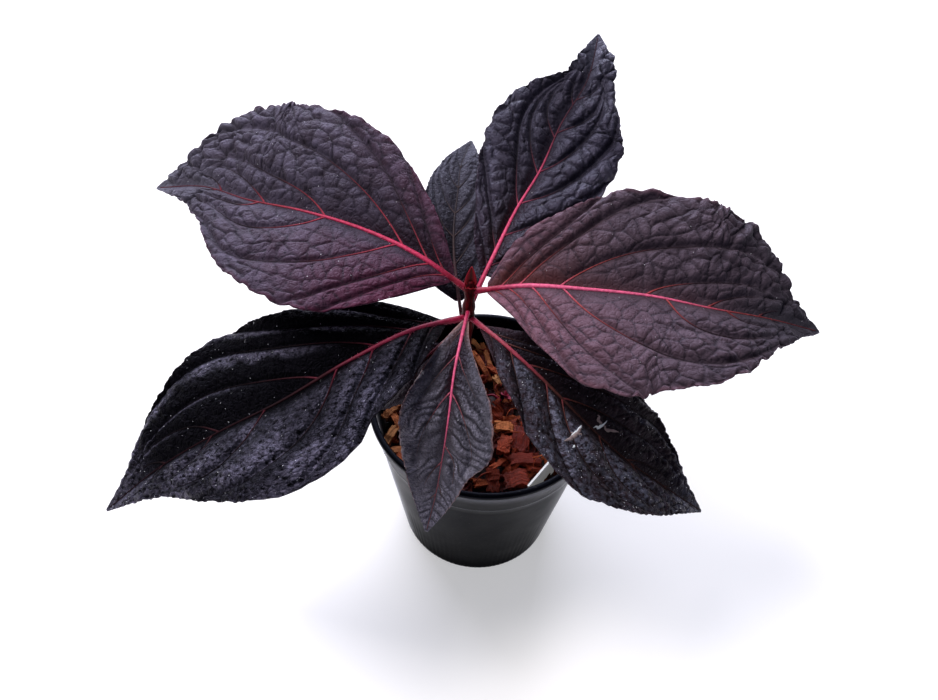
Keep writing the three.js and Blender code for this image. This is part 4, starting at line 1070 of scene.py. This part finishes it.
def inner_radius(z):
    share = (z - POT["floor"]) / (POT["height"] - 1 - POT["floor"])
    return POT["inner_foot"] + share * (POT["inner_top"] - POT["inner_foot"])


def make_bed(skin):
    """The filling under the chips: follows the pot's wall and floor, crumbly on top"""
    over, floor = MEDIUM["chips_over"], POT["floor"] + MEDIUM["gap"]
    top = POT["height"] - MEDIUM["bed"] - over
    wall = inner_radius(top) - MEDIUM["gap"] - 0.3
    angles = steps_round(96)
    rings = [ring(inner_radius(floor) - MEDIUM["gap"] - 0.3, floor, angles), ring(wall, top, angles)]
    for radius in wall * np.linspace(0.96, 0.04, 24):
        x, y = radius * np.cos(angles), radius * np.sin(angles)
        rough = 1.1 * noise(x / 5, y / 5, 3) + 0.7 * noise(x / 2.2, y / 2.2, 4)
        rings.append(ring(radius, bed_height(radius) - over + rough, angles))
    return make_mesh("husk_bed", *close_rings(rings, float(bed_height(0)) - over, foot=floor), skin)


def make_chips(fibre):
    """Two layers of scattered chips: broad ones, then smaller shreds between and over them"""
    tree = chip_tree(fibre)
    for name, reach, drop, sizes, values in (
            ("chips_broad", 38, 0.6, dict(Smallest=(6, 3.5, 1.4), Largest=(12.5, 7.5, 3)),
             dict(Spacing=6.8 * MM, Lift=0.4 * MM, Darkest=0.05, Palest=0.52, Seed=11)),
            ("chips_small", 41, 0.2, dict(Smallest=(3, 1.4, 0.7), Largest=(9, 3.2, 1.6)),
             dict(Spacing=5.6 * MM, Lift=0.8 * MM, Darkest=0.1, Palest=0.8, Seed=23))):
        rings = [ring(r, bed_height(r) - drop, steps_round(48)) for r in np.linspace(reach, 2, 8)]
        ground = make_mesh(name, *close_rings(rings, float(bed_height(0)) - drop), fibre, smooth=False)
        sizes = {key: [size * MM for size in triple] for key, triple in sizes.items()}
        yield grow(ground, tree, **sizes, **values)


def make_placed_chips(fibre):
    """The chips that the leaves leave in sight, bent blocks with frayed faces"""
    shape = (13, 7, 3)
    steps = [np.linspace(-0.5, 0.5, count) for count in shape]
    block = np.stack(np.meshgrid(*steps, indexing="ij"), -1).reshape(-1, 3)
    shell = np.abs(block).max(1) > 0.499
    own = block[shell]
    numbers = np.full(len(block), -1)
    numbers[shell] = np.arange(len(own))
    faces = []
    for axis in range(3):
        for end in (0, -1):
            quads = sheet_faces(np.take(numbers.reshape(shape), end, axis=axis))
            faces += (quads if (end == -1) != (axis == 1) else quads[:, ::-1]).tolist()
    parts = []
    for number, (x, y, heading, tilt, length, width, thick, curl, tone) in enumerate(CHIPS):
        local = own * [length, width, thick]
        local[:, 2] -= curl * length * (own[:, 0] ** 2)
        fray = [noise(own[:, 0] * 5 + 9 * number, own[:, (k + 1) % 3] * 6 + own[:, 2], k) for k in range(3)]
        local += 0.13 * np.stack(fray, 1) * [1.6, width, thick + 1]
        local[:, 0] += 0.9 * noise(own[:, 1] * 7 + 5 * number, own[:, 2] * 2, 3) * (np.abs(own[:, 0]) > 0.4)
        turn = Matrix.Rotation(math.radians(heading), 3, "Z") @ Matrix.Rotation(math.radians(tilt), 3, "Y")
        spot = [x, y, float(bed_height(math.hypot(x, y))) + 2.4 + curl * length * 0.1]
        parts.append((local @ np.array(turn).T + spot, faces, np.full(len(own), float(tone)), own + number))
    points, faces, tone, place = join(parts)
    return face_outwards(make_mesh("chips_in_sight", points, faces, fibre, smooth=False,
                                   chip_tone=tone, chip_place=place))


def make_strands(fibre):
    """Loose fibres that stand out between the chips, a few tenths of a millimetre thick"""
    parts, steps, sides = [], MEDIUM["strand_steps"], MEDIUM["strand_sides"]
    s = np.linspace(0, 1, steps)
    for number in range(MEDIUM["strands"]):
        chance = [float(hashed(number, k, 91)) for k in range(8)]
        radius, angle = 36 * math.sqrt(chance[0]), 2 * math.pi * chance[1]
        length, way = 4 + 7 * chance[3], 2 * math.pi * chance[2] + 3.4 * (chance[4] - 0.5) * s
        x = radius * math.cos(angle) + np.cumsum(np.cos(way)) * length / steps
        y = radius * math.sin(angle) + np.cumsum(np.sin(way)) * length / steps
        z = bed_height(np.hypot(x, y)) + 1.6 + 2.6 * chance[5] + 2.2 * np.sin(np.pi * s) * chance[6]
        thick = (0.14 + 0.3 * chance[7]) * (1 - 0.6 * s ** 3)
        tone = 0.25 + 0.7 * chance[6] * chance[3]
        round_it = np.tile(np.arange(sides) / sides, steps)
        place = np.stack([np.repeat(s, sides) + number, round_it, 0 * round_it], 1)
        parts.append((*tube(np.stack([x, y, z], 1), [0.0, 0.0, 1.0], thick, sides, tone), place))
    points, faces, tone, place = join(parts)
    return make_mesh("husk_strands", points, faces, fibre, chip_tone=tone, chip_place=place)


# Camera, floor and light

CAMERA = dict(place=(0, -240.2, 388.6), pitch=48.61, yaw=-2.03, roll=3.76, focal_px=900, width_px=938,
              sensor=36)


def make_camera():
    """The photograph's camera, found from the pot's circles"""
    pitch, yaw, roll = (math.radians(CAMERA[key]) for key in ("pitch", "yaw", "roll"))
    ahead = Vector((math.sin(yaw) * math.cos(pitch), math.cos(yaw) * math.cos(pitch), -math.sin(pitch)))
    level = ahead.cross(Vector((0, 0, 1))).normalized()
    upright = level.cross(ahead)
    right = math.cos(roll) * level + math.sin(roll) * upright
    up = math.cos(roll) * upright - math.sin(roll) * level
    lens = bpy.data.cameras.new("camera")
    lens.sensor_width = CAMERA["sensor"]
    lens.lens = CAMERA["sensor"] * CAMERA["focal_px"] / CAMERA["width_px"]
    lens.clip_start = 0.01
    camera = bpy.data.objects.new("camera", lens)
    turn = Matrix((right, up, -ahead)).transposed().to_4x4()
    camera.matrix_world = Matrix.Translation(Vector(CAMERA["place"]) * MM) @ turn
    bpy.context.scene.collection.objects.link(camera)
    bpy.context.scene.camera = camera


def make_light(name, place, size, power, tone="#ffffff"):
    """A rectangular softbox that faces the plant"""
    lamp = bpy.data.lights.new(name, "AREA")
    lamp.shape = "RECTANGLE"
    lamp.size, lamp.size_y = size
    lamp.energy = power
    lamp.color = linear(tone)[:3]
    light = bpy.data.objects.new(name, lamp)
    light.location = place
    light.rotation_euler = (Vector((0, 0, 0.1)) - Vector(place)).to_track_quat("-Z", "Y").to_euler()
    bpy.context.scene.collection.objects.link(light)


def make_stage():
    """A pale studio floor that glows a little, under soft light from above and behind"""
    material = new_material("studio_floor", Base_Color="#cbc6c5", Roughness=1, Specular_IOR_Level=0,
                            Emission_Color="#ffffff", Emission_Strength=0.45)[0]
    size, below = 4000, -0.2
    corners = [[-size, -size, below], [size, -size, below], [size, size, below], [-size, size, below]]
    make_mesh("floor", corners, [(0, 1, 2, 3)], material)
    world = bpy.data.worlds.new("studio")
    bpy.context.scene.world = world
    world.use_nodes = True
    world.node_tree.nodes.clear()
    add(world.node_tree, "OutputWorld", add(world.node_tree, "Background", "#cfd9f8", 0.26))
    make_light("back_softbox", (-0.5, 1.6, 1.05), (2.0, 0.8), 62, "#e6ecff")
    make_light("key_softbox", (-0.85, 0.15, 1.9), (0.8, 0.8), 47)
    bpy.context.scene.view_settings.view_transform = "Standard"


# Assembly

def finish_piece(piece, slot, *nodes):
    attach(piece, "root")
    if nodes:
        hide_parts(*nodes)


make_camera()
make_stage()

underside = blade_underside()
# Lime left by dried drops: pale chalky dots with a slight shine
specks = speck_tree(new_material("dried_water", Base_Color="#d8d6dc", Roughness=0.4, IOR=1.45)[0])
# Plant hair, a single cell wide: pink and a little glassy
hairs = hair_tree(new_material("stalk_hair", Base_Color="#d86a86", Roughness=0.35, IOR=1.4)[0])

for i, name in enumerate(LEAVES):
    blade = make_blade(name, underside)
    finish_piece(blade, "leaf_blade", f"leaf_{name}")
    rib = make_rib(name)
    finish_piece(rib, "leaf_stalk", f"stalk_{name}")
    down = copy_piece(f"rib_hairs_{name}", rib)
    grow(down, hairs, Density=1.2e6, Length=0.75 * MM, Radius=0.04 * MM, Seed=40 + i)
    finish_piece(down, "leaf_stalk")
    dots = copy_piece(f"specks_{name}", blade)
    area = blade_length(LEAVES[name]) * max(LEAVES[name]["left"]) * 1.4 * MM * MM
    grow(dots, specks, Density=LOOKS[name]["specks"] / area, Radius=0.16 * MM, Seed=60 + i)
    finish_piece(dots, "leaf_blade")

finish_piece(make_stem(stem_skin()), "stem_skin", "stem")
finish_piece(make_tip(young_leaf_skin("young_leaf", "#3e0a08", "#861220")), "stem_skin")
finish_piece(make_pot(pot_plastic()), "pot_plastic", "pot")

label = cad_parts["plant_label"]
label.data.materials.clear()
label.data.materials.append(label_plastic())

finish_piece(make_bed(wet_bed()), "husk_chips", "husk_medium")
fibre = husk_fibre()
for layer in (*make_chips(fibre), make_placed_chips(fibre), make_strands(fibre)):
    finish_piece(layer, "husk_chips")
finish_piece(make_shoot(young_leaf_skin("basal_shoot", "#7d1a2e", "#a8485e")), "stem_skin")
finish_piece(make_scars(), "leaf_blade")
